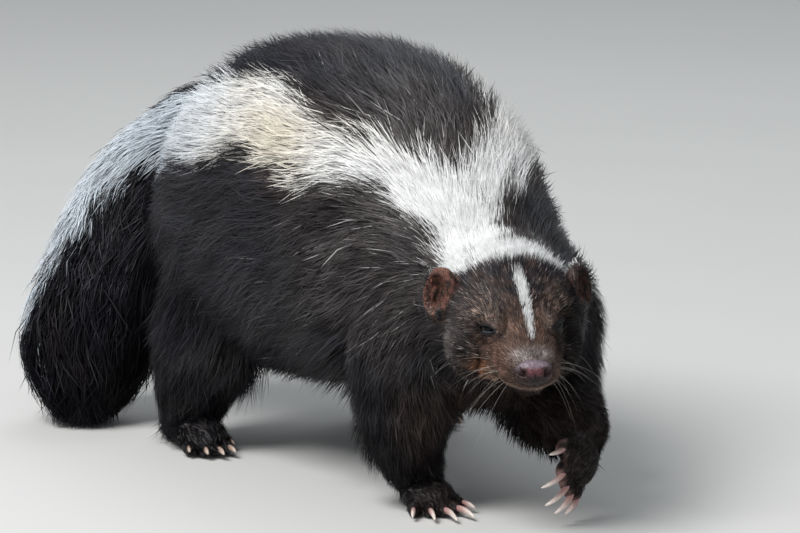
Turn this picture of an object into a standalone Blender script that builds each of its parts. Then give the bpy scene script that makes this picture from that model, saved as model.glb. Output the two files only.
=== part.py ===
"""Life-size still model of a striped skunk, walking with its head low and one forepaw lifted.

+X is the way the body faces, +Y is the animal's left and +Z is up. The floor is z = 0. Everything is
in metres. The body is modelled whole from lofts and ellipsoids, fused, covered with the long coat's locks,
and parted with thin cuts.
"""

import math
import random

import bmesh
import bpy
from mathutils import Matrix, Vector
from mathutils.bvhtree import BVHTree

# Driving sizes
GAP = 0.0003  # kept between two nodes that touch
ORIGIN = Vector((-0.0229, -0.0140, 0.0))  # below the model's middle, in the body's own coordinates

# The torso from rump to chest: x, y, top, underside, half width, coat depth
TORSO = [
    (-0.199, -0.014, 0.188, 0.140, 0.024, 0.010),
    (-0.180, -0.012, 0.207, 0.108, 0.050, 0.018),
    (-0.150, -0.010, 0.225, 0.064, 0.073, 0.024),
    (-0.105, -0.008, 0.238, 0.046, 0.085, 0.027),
    (-0.052, -0.006, 0.244, 0.043, 0.088, 0.028),
    (-0.008, -0.006, 0.240, 0.046, 0.086, 0.027),
    (0.030, -0.006, 0.220, 0.051, 0.079, 0.024),
    (0.064, -0.005, 0.190, 0.056, 0.070, 0.020),
    (0.095, -0.003, 0.170, 0.058, 0.061, 0.016),
    (0.124, -0.004, 0.156, 0.072, 0.048, 0.012),
    (0.146, -0.008, 0.146, 0.096, 0.034, 0.009),
]
TORSO_SQUARE = 2.5  # the power of the torso's outline: 2 is an ellipse, more is squarer

# The neck: x, y, z, half width, half height, coat depth
NECK = [
    (0.080, 0.002, 0.119, 0.052, 0.048, 0.010),
    (0.112, -0.002, 0.116, 0.046, 0.042, 0.006),
    (0.138, -0.010, 0.113, 0.041, 0.037, 0.002),
]

# The tail from the rump to its tip: x, y, z, half width, half height, coat depth
TAIL = [
    (-0.160, -0.010, 0.170, 0.022, 0.026, 0.010),
    (-0.192, -0.016, 0.171, 0.030, 0.034, 0.018),
    (-0.216, -0.030, 0.154, 0.034, 0.034, 0.022),
    (-0.229, -0.050, 0.126, 0.037, 0.036, 0.025),
    (-0.227, -0.070, 0.090, 0.040, 0.039, 0.028),
    (-0.218, -0.088, 0.055, 0.042, 0.040, 0.030),
    (-0.210, -0.097, 0.028, 0.036, 0.032, 0.024),
    (-0.204, -0.102, 0.008, 0.012, 0.010, 0.006),
]

# The legs from the body to the wrist or ankle: x, y, z, half width, half depth, coat depth
FORELEG_RIGHT = [
    (0.090, -0.030, 0.128, 0.028, 0.036, 0.012),
    (0.084, -0.044, 0.102, 0.030, 0.037, 0.011),
    (0.082, -0.048, 0.078, 0.031, 0.036, 0.009),
    (0.084, -0.047, 0.056, 0.031, 0.033, 0.007),
    (0.082, -0.045, 0.034, 0.022, 0.023, 0.005),
    (0.086, -0.040, 0.0135, 0.0155, 0.0165, 0.004),
]
FORELEG_LEFT = [
    (0.092, 0.028, 0.128, 0.034, 0.036, 0.012),
    (0.092, 0.037, 0.098, 0.035, 0.034, 0.011),
    (0.098, 0.033, 0.073, 0.034, 0.030, 0.009),
    (0.115, 0.029, 0.058, 0.030, 0.024, 0.007),
    (0.139, 0.027, 0.0495, 0.022, 0.019, 0.005),
    (0.158, 0.028, 0.0435, 0.013, 0.014, 0.004),
]
HIND_LEG = [
    (-0.112, 0.044, 0.140, 0.034, 0.054, 0.022),
    (-0.106, 0.054, 0.104, 0.033, 0.050, 0.019),
    (-0.105, 0.063, 0.072, 0.032, 0.044, 0.013),
    (-0.113, 0.069, 0.040, 0.025, 0.032, 0.007),
    (-0.118, 0.072, 0.0145, 0.016, 0.019, 0.004),
]
HIND_RIGHT_AHEAD, HIND_LEFT_AHEAD = -0.012, -0.016  # how far each hind foot stands ahead of its row

# The head's own frame: its origin is the tip of the nose, and x runs forwards
NOSE_TIP = Vector((0.215, -0.044, 0.097))
HEAD_YAW, HEAD_PITCH, HEAD_ROLL = math.radians(-19.3), math.radians(15), math.radians(1)
# The skull and muzzle: x, y, z, half width, half height, coat depth
SKULL = [
    (-0.002, 0, -0.0010, 0.0095, 0.0080, 0.0010),
    (-0.007, 0, -0.0020, 0.0145, 0.0120, 0.0015),
    (-0.018, 0, -0.0025, 0.0190, 0.0150, 0.0025),
    (-0.030, 0, -0.0005, 0.0225, 0.0185, 0.0035),
    (-0.043, 0, 0.0020, 0.0300, 0.0230, 0.0045),
    (-0.058, 0, 0.0050, 0.0370, 0.0275, 0.0055),
    (-0.074, 0, 0.0070, 0.0400, 0.0305, 0.0070),
    (-0.092, 0, 0.0060, 0.0395, 0.0310, 0.0085),
    (-0.112, 0, 0.0030, 0.0370, 0.0310, 0.0090),
]
HEAD_CUT = -0.088  # where the head meets the neck
THROAT = -0.045  # how low the head's block of space reaches, so that it clears the lifted foreleg
EYE = Vector((-0.0365, 0.0172, 0.0103))  # the left eye's centre
EYE_RADIUS, LID_THICKNESS = 0.0050, 0.0013
EYE_SLIT = (0.0060, 0.0054, 0.0024)  # how far the slit between the lids reaches: out, along, up
GAZE, GAZE_RISE, SLIT_TILT = math.radians(34), math.radians(12), math.radians(10)
EAR = Vector((-0.0720, 0.0380, 0.0140))  # the left ear's middle
EAR_SIZE = (0.0068, 0.0115, 0.0142)  # half its depth, width and height
EAR_TURN, EAR_LEAN = math.radians(58), math.radians(-12)  # how far the cup's mouth faces outwards and up
NOSE_PAD, NOSE_PLACE = (0.0078, 0.0104, 0.0078), Vector((-0.0060, 0.0, -0.0022))
NOSTRIL, NOSTRIL_PLACE = (0.0042, 0.0019, 0.0022), Vector((0.0, 0.0056, -0.0024))
MOUTH_DROP = 0.0115  # the mouth line below the tip of the nose
MOUTH_HEIGHT = 0.0009
MOUTH_REACH, MOUTH_HALF = 0.034, 0.0175  # how long and how wide the mouth's horseshoe is inside
MOUTH_TURN = math.radians(74)  # how far round the horseshoe the line runs on each side

# The paws, in the frame of the wrist or ankle, x towards the toes and z out of the back of the paw
FORE_CLAW, HIND_CLAW = 0.0185, 0.010
CLAW_SHARE = (0.58, 0.95, 1.0, 0.85, 0.66)  # of the longest claw, from the inner toe to the outer
CLAW_DEPTH = 0.0018
CLAW_BEND, CLAW_RISE = math.radians(48), math.radians(-8)  # on the lifted paw
FLAT_BEND, FLAT_RISE = math.radians(34), math.radians(11)  # on the paws that stand
TOES = 5
PALM_DROP, TOE_DROP, HEEL_DROP = 0.005, 0.0095, 0.007  # below the wrist or ankle
FORE_SPREAD, HIND_SPREAD = math.radians(13), math.radians(9)

# Where the body is parted
NECK_CUT = 0.118
# The tail's space: x of its root, of the rump beside the root, and of the rump below RUMP_HEIGHT
TAIL_CUT, BESIDE_CUT, RUMP_CUT, RUMP_HEIGHT = -0.190, -0.209, -0.164, 0.118
FAR = 0.3  # beyond every surface of the body
# The space of a paw, in its own frame: how far it reaches behind, beside, below, ahead and above the wrist
PAW_SPACE = {"standing": (0.034, 0.034, 0.045, 0.075, 0.006), "lifted": (0.004, 0.034, 0.045, 0.075, 0.030)}
ROOT_MIDDLE, ROOT_HALF = -0.018, 0.036  # y of the root's middle, and half its width
# The block of space of each leg: its back, its front, its inner side and its top
LEG_BLOCKS = {
    "foreleg_right": (0.034, 0.140, 0.013, 0.078),
    "foreleg_left": (0.052, 0.220, -0.006, 0.080),
    "hindleg_right": (-0.162, -0.050, 0.034, 0.056),
    "hindleg_left": (-0.162, -0.050, 0.034, 0.056),
}

# The long coat: flat tapered locks over a core
CORE_SHARE = 0.55  # how much of the coat's depth the core leaves to the locks
LIMB_SHARE = 0.15  # the same on the legs and the back of the head, which have no locks
LOCK_STEPS = (0.0, 0.34, 0.70, 1.0)  # the stations of a lock, as shares of its length
LOCK_WIDTHS = (0.60, 1.0, 0.74, 0.0)
LOCK_HEIGHTS = (-0.30, 0.62, 0.90, 1.0)  # over the core, as shares of the depth the core leaves
LOCK_THICK = 0.0016  # half the thickness of a lock where it is thickest
BODY_LOCK, BODY_SPACING = (0.066, 0.0170), 0.0260  # length and half width, and the distance apart
TAIL_LOCK, TAIL_SPACING = (0.064, 0.0135), 0.0225
FLANK_DROP = 0.6  # how steeply the coat hangs on the flanks
LOWEST_ROOT, LOWEST_TAIL_ROOT = 0.088, 0.020  # no lock on the body or the tail grows lower than this
FLOOR_CLEAR = 0.0015  # how far the tail's locks stay above the floor
COAT_SEED = 12

# The fineness of the fused forms
BODY_VOXEL, HEAD_VOXEL, PAW_VOXEL = 0.004, 0.0017, 0.0012
BODY_FACES, HEAD_FACES, PAW_FACES, TAIL_FACES = 1500, 1400, 260, 300

COLOURS = {
    "coat_black": ((0.014, 0.012, 0.013), 0.55),
    "face_brown": ((0.035, 0.022, 0.017), 0.6),
    "ear_skin": ((0.11, 0.05, 0.04), 0.6),
    "nose_skin": ((0.16, 0.075, 0.08), 0.35),
    "eye": ((0.004, 0.004, 0.005), 0.05),
    "claw": ((0.55, 0.44, 0.38), 0.4),
}


def clear_scene():
    for obj in list(bpy.data.objects):
        bpy.data.objects.remove(obj)


def collection(name):
    made = bpy.data.collections.new(name)
    bpy.context.scene.collection.children.link(made)
    return made


def material(name):
    made = bpy.data.materials.get(name)
    if made is None:
        colour, roughness = COLOURS[name]
        made = bpy.data.materials.new(name)
        made.use_nodes = True
        shader = made.node_tree.nodes["Principled BSDF"]
        shader.inputs["Base Color"].default_value = (*colour, 1)
        shader.inputs["Roughness"].default_value = roughness
        made.diffuse_color = (*colour, 1)
    return made


def object_from(bm, name, where):
    mesh = bpy.data.meshes.new(name)
    bmesh.ops.recalc_face_normals(bm, faces=bm.faces)
    bm.to_mesh(mesh)
    bm.free()
    obj = bpy.data.objects.new(name, mesh)
    where.objects.link(obj)
    return obj


def catmull(rows, steps):
    """Rows of numbers along a smooth curve through the given rows."""
    found = []
    for i in range(len(rows) - 1):
        before, after = rows[max(i - 1, 0)], rows[min(i + 2, len(rows) - 1)]
        for k in range(steps):
            t = k / steps
            found.append(tuple(
                0.5 * (2 * b + (c - a) * t + (2 * a - 5 * b + 4 * c - d) * t * t
                       + (3 * b - a - 3 * c + d) * t ** 3)
                for a, b, c, d in zip(before, rows[i], rows[i + 1], after)))
    return found + [tuple(rows[-1])]


def squared(value, power):
    """A sine or cosine bent so that a circle becomes a superellipse of that power."""
    return math.copysign(abs(value) ** (2 / power), value)


def loft(name, rows, where, share=0.0, grow=0.0, sides=20, steps=4, square=2.0):
    """A closed tube through rows of x, y, z, half width, half height and coat depth.

    share is the part of the coat's depth that is left off, and grow is added all round.
    """
    across = Vector((0, 1, 0))
    rows = catmull(rows, steps)
    centres = [Vector(r[:3]) for r in rows]
    bm = bmesh.new()
    rings = []
    for i, row in enumerate(rows):
        along = (centres[min(i + 1, len(rows) - 1)] - centres[max(i - 1, 0)]).normalized()
        side = (across - along * across.dot(along)).normalized()
        up = along.cross(side)
        wide, high = (row[k] - share * row[5] + grow for k in (3, 4))
        rings.append([
            bm.verts.new(centres[i] + side * wide * squared(math.cos(a), square)
                         + up * high * squared(math.sin(a), square))
            for a in (2 * math.pi * k / sides for k in range(sides))])
    for one, two in zip(rings, rings[1:]):
        for k in range(sides):
            bm.faces.new((one[k], one[(k + 1) % sides], two[(k + 1) % sides], two[k]))
    bm.faces.new(rings[0])
    bm.faces.new(rings[-1])
    return object_from(bm, name, where)


def ellipsoid(name, centre, radii, where, turn=Matrix.Identity(3), detail=12):
    bm = bmesh.new()
    place = Matrix.Translation(centre) @ turn.to_4x4() @ Matrix.Diagonal((*radii, 1))
    bmesh.ops.create_uvsphere(bm, u_segments=detail, v_segments=detail // 2 + 1, radius=1, matrix=place)
    return object_from(bm, name, where)


def box(name, low, high, where, frame=Matrix.Identity(4)):
    """A block from its lowest to its highest corner in the given frame."""
    low, high = Vector(low), Vector(high)
    bm = bmesh.new()
    place = frame @ Matrix.Translation((low + high) / 2) @ Matrix.Diagonal((*(high - low), 1))
    bmesh.ops.create_cube(bm, size=1, matrix=place)
    return object_from(bm, name, where)


def apply_modifiers(obj):
    graph = bpy.context.evaluated_depsgraph_get()
    graph.update()
    mesh = bpy.data.meshes.new_from_object(obj.evaluated_get(graph))
    obj.modifiers.clear()
    obj.data = mesh
    return obj


def fused(name, pieces, voxel, rounds, where):
    """The pieces as one smooth closed skin. The pieces are used up."""
    bm = bmesh.new()
    for piece in pieces:
        bm.from_mesh(piece.data)
        bpy.data.objects.remove(piece)
    whole = object_from(bm, name, where)
    remesh = whole.modifiers.new("Remesh", "REMESH")
    remesh.mode, remesh.voxel_size = "VOXEL", voxel
    smooth = whole.modifiers.new("Smooth", "SMOOTH")
    smooth.factor, smooth.iterations = 0.5, rounds
    return apply_modifiers(whole)


def decimate(obj, faces):
    obj.data.calc_loop_triangles()
    reduce = obj.modifiers.new("Decimate", "DECIMATE")
    reduce.ratio = min(1.0, faces / len(obj.data.loop_triangles))
    reduce.use_collapse_triangulate = True
    return apply_modifiers(obj)


def combine(obj, others, operation, solver="EXACT"):
    """Joins, cuts or intersects obj with every mesh in others, which are then removed."""
    group = collection("operands")
    for other in others:
        group.objects.link(other)
    cut = obj.modifiers.new("Boolean", "BOOLEAN")
    cut.operation, cut.solver = operation, solver
    cut.operand_type, cut.collection = "COLLECTION", group
    apply_modifiers(obj)
    bpy.data.collections.remove(group)
    for other in others:
        bpy.data.objects.remove(other)
    return obj


def surface_of(obj):
    bm = bmesh.new()
    bm.from_mesh(obj.data)
    tree = BVHTree.FromBMesh(bm)
    bm.free()
    return tree


def spread_points(obj, apart, draw, wanted):
    """Points about evenly apart on obj, each with its normal, where wanted(point, normal) holds."""
    faces = [(face.center.copy(), face.normal.copy()) for face in obj.data.polygons]
    draw.shuffle(faces)
    kept = []
    for centre, normal in faces:
        if wanted(centre, normal) and all((centre - other).length > apart for other, _ in kept):
            kept.append((centre, normal))
    return kept


def lock_path(tree, root, lie, length):
    """The stations of a lock over the surface: each place, its outward way and the way along."""
    place, out = root
    stations = []
    for k, share in enumerate(LOCK_STEPS):
        along = lie(place, out)
        along = (along - out * along.dot(out)).normalized()
        stations.append((place, out, along))
        if share < 1:
            stride = length * (LOCK_STEPS[k + 1] - share)
            ahead = place + along * stride
            near, normal, _, _ = tree.find_nearest(ahead)
            if (near - place).length > 0.6 * stride:
                place, out = near, (out + normal * 2).normalized()
            else:
                place = ahead
    return stations


def lock(tree, root, lie, size, depth, where):
    """One flat tapered lock, its root sunk in the core and its tip at the coat's full depth."""
    length, wide = size
    bm = bmesh.new()
    rings = []
    for k, (place, out, along) in enumerate(lock_path(tree, root, lie, length)):
        middle = place + out * depth * LOCK_HEIGHTS[k]
        side = along.cross(out) * wide * LOCK_WIDTHS[k]
        thick = out * LOCK_THICK * LOCK_WIDTHS[k]
        corners = (side, thick, -side, -thick) if LOCK_WIDTHS[k] else (Vector(),)
        rings.append([bm.verts.new(middle + corner) for corner in corners])
    bm.faces.new(rings[0])
    for one, two in zip(rings, rings[1:-1]):
        for edge in (0, 2):
            for flat in (1, 3):
                bm.faces.new((one[edge], one[flat], two[flat]))
                bm.faces.new((one[edge], two[flat], two[edge]))
    for k in range(4):
        bm.faces.new((rings[-2][k], rings[-2][(k + 1) % 4], rings[-1][0]))
    return object_from(bm, "lock", where)


def nearest_row(rows, place):
    return min(range(len(rows)), key=lambda i: (Vector(rows[i][:3]) - place).length)


def add_locks(core, skin, rows, size, apart, lie, wanted, draw, where):
    """Fuses locks onto the core, rooted where its skin has them."""
    tree = surface_of(skin)
    fine = catmull(rows, 6)
    locks = []
    for place, normal in spread_points(skin, apart, draw, wanted):
        depth = fine[nearest_row(fine, place)][5] * CORE_SHARE
        stretch = draw.uniform(0.85, 1.15)
        one = (size[0] * stretch, size[1] * draw.uniform(0.85, 1.1))
        locks.append(lock(tree, (place, normal), lie, one, depth * draw.uniform(0.9, 1.05), where))
    return combine(core, locks, "UNION", "MANIFOLD")


def copy_of(obj, name, where):
    made = bpy.data.objects.new(name, obj.data.copy())
    where.objects.link(made)
    return made


def keep_largest(obj):
    """Drops every closed surface of obj but the one that holds the most."""
    bm = bmesh.new()
    bm.from_mesh(obj.data)
    left, groups = set(bm.faces), []
    while left:
        todo = [left.pop()]
        group = list(todo)
        while todo:
            for edge in todo.pop().edges:
                for face in edge.link_faces:
                    if face in left:
                        left.discard(face)
                        group.append(face)
                        todo.append(face)
        groups.append(group)

    def extent(group):
        corners = [[v.co[k] for face in group for v in face.verts] for k in range(3)]
        return math.prod(max(c) - min(c) for c in corners)

    groups.sort(key=extent)
    bmesh.ops.delete(bm, geom=[face for group in groups[:-1] for face in group], context="FACES")
    bm.to_mesh(obj.data)
    bm.free()
    return obj


def finish(obj, name, colour, where):
    """Makes obj a node of the model: named, placed by its middle, coloured and shaded."""
    obj.name = name
    obj.data.name = name
    corners = [Vector(corner) for corner in obj.bound_box]
    middle = (corners[0] + corners[6]) / 2
    obj.data.transform(Matrix.Translation(-middle))
    obj.location = middle - ORIGIN
    obj.data.materials.clear()
    obj.data.materials.append(material(colour))
    obj.data.shade_smooth()
    obj.data.set_sharp_from_angle(angle=math.radians(45))
    for old in list(obj.users_collection):
        old.objects.unlink(obj)
    where.objects.link(obj)
    return obj


def frame_of(origin, forward, up):
    """A frame at origin whose x is forward and whose z is as near up as can be."""
    x = Vector(forward).normalized()
    y = Vector(up).cross(x).normalized()
    z = x.cross(y)
    return Matrix.Translation(origin) @ Matrix((x, y, z)).transposed().to_4x4()


def head_frame():
    turn = (Matrix.Rotation(HEAD_YAW, 4, "Z") @ Matrix.Rotation(HEAD_PITCH, 4, "Y")
            @ Matrix.Rotation(HEAD_ROLL, 4, "X"))
    return Matrix.Translation(NOSE_TIP) @ turn


def torso_rows():
    return [(x, y, (top + low) / 2, wide, (top - low) / 2, coat) for x, y, top, low, wide, coat in TORSO]


def mirrored(rows):
    return [(r[0], -r[1], *r[2:]) for r in rows]


def shifted(rows, ahead):
    """Rows whose foot is moved ahead, and whose top stays."""
    last = len(rows) - 1
    return [(r[0] + ahead * i / last, *r[1:]) for i, r in enumerate(rows)]


def leg_rows():
    """The four legs by name."""
    return {
        "foreleg_right": FORELEG_RIGHT,
        "foreleg_left": FORELEG_LEFT,
        "hindleg_right": shifted(mirrored(HIND_LEG), HIND_RIGHT_AHEAD),
        "hindleg_left": shifted(HIND_LEG, HIND_LEFT_AHEAD),
    }


def paw_frames():
    """The frame of each wrist and ankle, by the paw's name."""
    legs = leg_rows()
    ends = {name: Vector(rows[-1][:3]) for name, rows in legs.items()}
    return {
        "forepaw_right": frame_of(ends["foreleg_right"], (1, -0.12, 0), (0, 0, 1)),
        "forepaw_left": frame_of(ends["foreleg_left"], (0.60, -0.58, -0.55), (0.75, 0.64, 0.14)),
        "hindpaw_right": frame_of(ends["hindleg_right"], (1, -0.10, 0), (0, 0, 1)),
        "hindpaw_left": frame_of(ends["hindleg_left"], (1, 0.10, 0), (0, 0, 1)),
    }


def skull(where, share=0.0):
    made = loft("skull", SKULL, where, share, sides=24)
    made.data.transform(head_frame())
    return made


def head_pieces(where, share):
    """The skull, cheeks, brows and jaw, in the model's place."""
    frame = head_frame()
    turn = frame.to_3x3()
    pieces = [skull(where, share)]
    for side in (-1, 1):
        for name, centre, radii in (
            ("cheek", (-0.057, 0.0225 * side, -0.009), (0.026, 0.0155, 0.0190)),
            ("jowl", (-0.036, 0.0125 * side, -0.0125), (0.019, 0.0115, 0.0105)),
            ("brow", (-0.044, 0.0150 * side, 0.0150), (0.014, 0.0085, 0.0060)),
            ("whisker_pad", (-0.0150, 0.0085 * side, -0.0050), (0.0115, 0.0090, 0.0085)),
        ):
            pieces.append(ellipsoid(name, frame @ Vector(centre), radii, where, turn))
    chin = frame @ Vector((-0.020, 0, -0.0150))
    pieces.append(ellipsoid("chin", chin, (0.0140, 0.0095, 0.0050), where, turn))
    return pieces


def palm_pieces(frame, where, length, wide, thick, spread, inner, toe):
    """The palm and the five toes of a paw."""
    turn = frame.to_3x3()
    pieces = [ellipsoid("palm", frame @ Vector((length * 0.42, 0, -PALM_DROP)),
                        (length * 0.62, wide, thick), where, turn)]
    for centre, yaw in toe_places(length, wide, spread, inner):
        aim = turn @ Matrix.Rotation(yaw, 3, "Z")
        pieces.append(ellipsoid("toe", frame @ centre, toe, where, aim))
    return pieces


def toe_places(length, wide, spread, inner):
    """Each toe's middle and yaw in the paw's frame. inner is the side of the shortest toe, 1 or -1."""
    places = []
    for i in range(TOES):
        k = i - (TOES - 1) / 2
        yaw = k * spread
        back = 0.05 * k * k + (0.20 if k * inner == (TOES - 1) / 2 else 0)
        x = length * (0.98 - back)
        places.append((Vector((x, wide * 0.42 * k, -TOE_DROP)), yaw))
    return places


def claw(name, frame, length, bend, depth, where, grow=0.0):
    """A claw that starts along the frame's x and bends towards its -z by the whole angle bend."""
    rows, place, steps = [], Vector((-0.0025, 0, 0)), 4
    taper = (1.0, 1.0, 0.86, 0.60, 0.24)
    angle = 0.0
    for i in range(steps + 1):
        size = depth * taper[i] + grow
        rows.append((*place, size * 0.72, size, 0))
        angle -= bend / steps
        place = place + Vector((math.cos(angle), 0, math.sin(angle))) * length / steps
    made = loft(name, rows, where, sides=5, steps=1)
    made.data.transform(frame)
    return made


PAWS = {
    # length, half width, half thickness, toe spread, side of the inner toe, toe half sizes, claw length
    "forepaw_right": (0.030, 0.0155, 0.0100, FORE_SPREAD, 1, (0.0095, 0.0044, 0.0052), FORE_CLAW),
    "forepaw_left": (0.030, 0.0155, 0.0100, FORE_SPREAD, -1, (0.0095, 0.0044, 0.0052), FORE_CLAW),
    "hindpaw_right": (0.046, 0.0150, 0.0105, HIND_SPREAD, 1, (0.0090, 0.0042, 0.0052), HIND_CLAW),
    "hindpaw_left": (0.046, 0.0150, 0.0105, HIND_SPREAD, -1, (0.0090, 0.0042, 0.0052), HIND_CLAW),
}


def claw_frames(paw, frame):
    """Each claw's frame and length."""
    length, wide, _, spread, inner, toe, claw_length = PAWS[paw]
    rise = CLAW_RISE if paw == "forepaw_left" else FLAT_RISE
    shares = CLAW_SHARE if inner == -1 else CLAW_SHARE[::-1]
    found = []
    for (centre, yaw), share in zip(toe_places(length, wide, spread, inner), shares):
        turn = Matrix.Rotation(yaw, 4, "Z") @ Matrix.Rotation(-rise, 4, "Y")
        root = centre + Matrix.Rotation(yaw, 3, "Z") @ Vector((toe[0] * 0.80, 0, 0.0010))
        found.append((frame @ Matrix.Translation(root) @ turn, claw_length * share))
    return found


def build_paw(paw, frame, work):
    """A paw with sockets for its claws, and the five claws."""
    length, wide, thick, spread, inner, toe, _ = PAWS[paw]
    leg = paw.replace("forepaw", "foreleg").replace("hindpaw", "hindleg")
    pieces = palm_pieces(frame, work, length, wide, thick, spread, inner, toe)
    pieces.append(loft("limb", leg_rows()[leg][-3:], work, sides=16))
    if paw.startswith("hind"):
        heel = frame @ Vector((-0.010, 0, -HEEL_DROP))
        pieces.append(ellipsoid("heel", heel, (0.014, 0.0115, 0.009), work, frame.to_3x3()))
    made = fused(paw, pieces, PAW_VOXEL, 3, work)
    decimate(made, PAW_FACES)
    combine(made, [paw_region(paw, frame, work, 0.0)], "INTERSECT")
    keep_largest(made)
    if paw != "forepaw_left":
        combine(made, [box("floor", (-1, -1, -1), (1, 1, 0), work)], "DIFFERENCE")
    claws, sockets = [], []
    bend = CLAW_BEND if paw == "forepaw_left" else FLAT_BEND
    for i, (place, reach) in enumerate(claw_frames(paw, frame)):
        claws.append(claw(f"claw_{paw}_{i + 1}", place, reach, bend, CLAW_DEPTH, work))
        behind = place @ Matrix.Translation((-GAP, 0, 0))
        sockets.append(claw("socket", behind, reach, bend, CLAW_DEPTH, work, grow=GAP))
    combine(made, sockets, "DIFFERENCE")
    keep_largest(made)
    for one in claws:
        combine(one, [box("floor", (-1, -1, -1), (1, 1, 0), work)], "DIFFERENCE")
        keep_largest(one)
    return made, claws


def paw_region(paw, frame, where, grow):
    """The block of space that a paw fills, from its wrist or ankle on."""
    lifted = paw == "forepaw_left"
    back, beside, below, ahead, above = PAW_SPACE["lifted" if lifted else "standing"]
    grown_side = beside if lifted else beside + grow
    low = (-back - grow, -grown_side, -below)
    high = (ahead, grown_side, above if lifted else above + grow)
    return box("region", low, high, where, frame)


def build_head(work):
    frame = head_frame()
    pieces = head_pieces(work, 0.0) + [loft("neck", NECK, work, sides=24)]
    head = fused("head", pieces, HEAD_VOXEL, 5, work)
    decimate(head, HEAD_FACES)
    combine(head, [box("keep", (HEAD_CUT, -0.2, THROAT), (0.2, 0.2, 0.2), work, frame)], "INTERSECT")
    lids = []
    for side in (-1, 1):
        centre = frame @ Vector((EYE.x, EYE.y * side, EYE.z))
        lids.append(ellipsoid("lid", centre, (EYE_RADIUS + LID_THICKNESS,) * 3, work, frame.to_3x3(), 14))
    combine(head, lids, "UNION")
    cutters = []
    for side in (-1, 1):
        centre = frame @ Vector((EYE.x, EYE.y * side, EYE.z))
        gaze = gaze_turn(side)
        slit = centre + gaze @ Vector((EYE_RADIUS * 0.75, 0, 0))
        cutters.append(ellipsoid("socket", centre, (EYE_RADIUS + GAP,) * 3, work, frame.to_3x3(), 14))
        cutters.append(ellipsoid("slit", slit, EYE_SLIT, work, gaze, 14))
    cutters.append(nose_pad(work, GAP))
    cutters.append(mouth_cutter(work))
    for cutter in cutters:
        combine(head, [cutter], "DIFFERENCE", "MANIFOLD")
    return keep_largest(head)


def gaze_turn(side):
    """The way an eye looks, with the slant of its slit."""
    turn = head_frame().to_3x3() @ Matrix.Rotation(side * GAZE, 3, "Z") @ Matrix.Rotation(-GAZE_RISE, 3, "Y")
    return turn @ Matrix.Rotation(-side * SLIT_TILT, 3, "X")


def nose_pad(where, grow):
    frame = head_frame()
    radii = [r + grow for r in NOSE_PAD]
    return ellipsoid("pad", frame @ NOSE_PLACE, radii, where, frame.to_3x3(), 14)


def mouth_cutter(where):
    """A thin horseshoe plate that presses the line of the mouth into the muzzle."""
    bm = bmesh.new()
    steps, beyond, slope = 16, 0.02, 0.11
    inner, outer = [], []
    for i in range(steps + 1):
        a = MOUTH_TURN * (2 * i / steps - 1)
        inner.append((MOUTH_REACH * math.cos(a), MOUTH_HALF * math.sin(a)))
        outer.append(((MOUTH_REACH + beyond) * math.cos(a), (MOUTH_HALF + beyond) * math.sin(a)))
    rings = []
    for points in (inner, outer):
        for z in (-MOUTH_HEIGHT / 2, MOUTH_HEIGHT / 2):
            rings.append([bm.verts.new((x, y, z - slope * (MOUTH_REACH - x))) for x, y in points])
    low_in, high_in, low_out, high_out = rings
    for a, b in ((low_in, low_out), (low_out, high_out), (high_out, high_in), (high_in, low_in)):
        for k in range(steps):
            bm.faces.new((a[k], a[k + 1], b[k + 1], b[k]))
    for k in (0, steps):
        bm.faces.new((low_in[k], low_out[k], high_out[k], high_in[k]))
    bm.transform(head_frame() @ Matrix.Translation((-0.0035 - MOUTH_REACH, 0, -MOUTH_DROP)))
    bmesh.ops.triangulate(bm, faces=bm.faces)
    return object_from(bm, "mouth", where)


def build_nose(work):
    frame = head_frame()
    pad = nose_pad(work, 0.0)
    holes = []
    for side in (-1, 1):
        centre = frame @ Vector((NOSTRIL_PLACE.x, NOSTRIL_PLACE.y * side, NOSTRIL_PLACE.z))
        turn = frame.to_3x3() @ Matrix.Rotation(side * math.radians(30), 3, "Z")
        holes.append(ellipsoid("nostril", centre, NOSTRIL, work, turn, 10))
    return keep_largest(combine(pad, holes, "DIFFERENCE"))


def build_ears(head, work):
    frame = head_frame()
    ears = []
    depth, wide, high = EAR_SIZE
    for side, name in ((-1, "ear_right"), (1, "ear_left")):
        middle = frame @ Vector((EAR.x, EAR.y * side, EAR.z))
        turn = frame.to_3x3() @ Matrix.Rotation(side * EAR_TURN, 3, "Z") @ Matrix.Rotation(EAR_LEAN, 3, "Y")
        cup = ellipsoid(name, middle, (depth, wide, high), work, turn)
        hollow = ellipsoid("hollow", middle + turn @ Vector((depth * 0.70, 0, 0.0004)),
                           (depth * 0.88, wide * 0.74, high * 0.76), work, turn)
        combine(cup, [hollow], "DIFFERENCE")
        combine(cup, [grown(head, GAP, work)], "DIFFERENCE", "MANIFOLD")
        ears.append(keep_largest(cup))
    return ears


def grown(obj, by, where):
    """A copy of obj whose surface is moved outwards."""
    made = copy_of(obj, "grown", where)
    push = made.modifiers.new("Displace", "DISPLACE")
    push.strength, push.mid_level = by * 1.5, 0
    return apply_modifiers(made)


def body_lie(place, normal):
    """The coat lies backwards along the back, and hangs on the flanks and over the rump."""
    steep = abs(normal.y) + max(0.0, -normal.x)
    return Vector((-1, 0, -FLANK_DROP * steep))


def has_body_locks(place, normal):
    """Long coat grows on the back, flanks and rump, and on the nape behind the head."""
    ahead = (head_frame().inverted() @ place).x
    at_tail = place.x < TAIL_CUT + 0.006 and abs(place.y - ROOT_MIDDLE) < ROOT_HALF
    return normal.z > -0.35 and ahead < HEAD_CUT - 0.006 and place.z > LOWEST_ROOT and not at_tail


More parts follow.
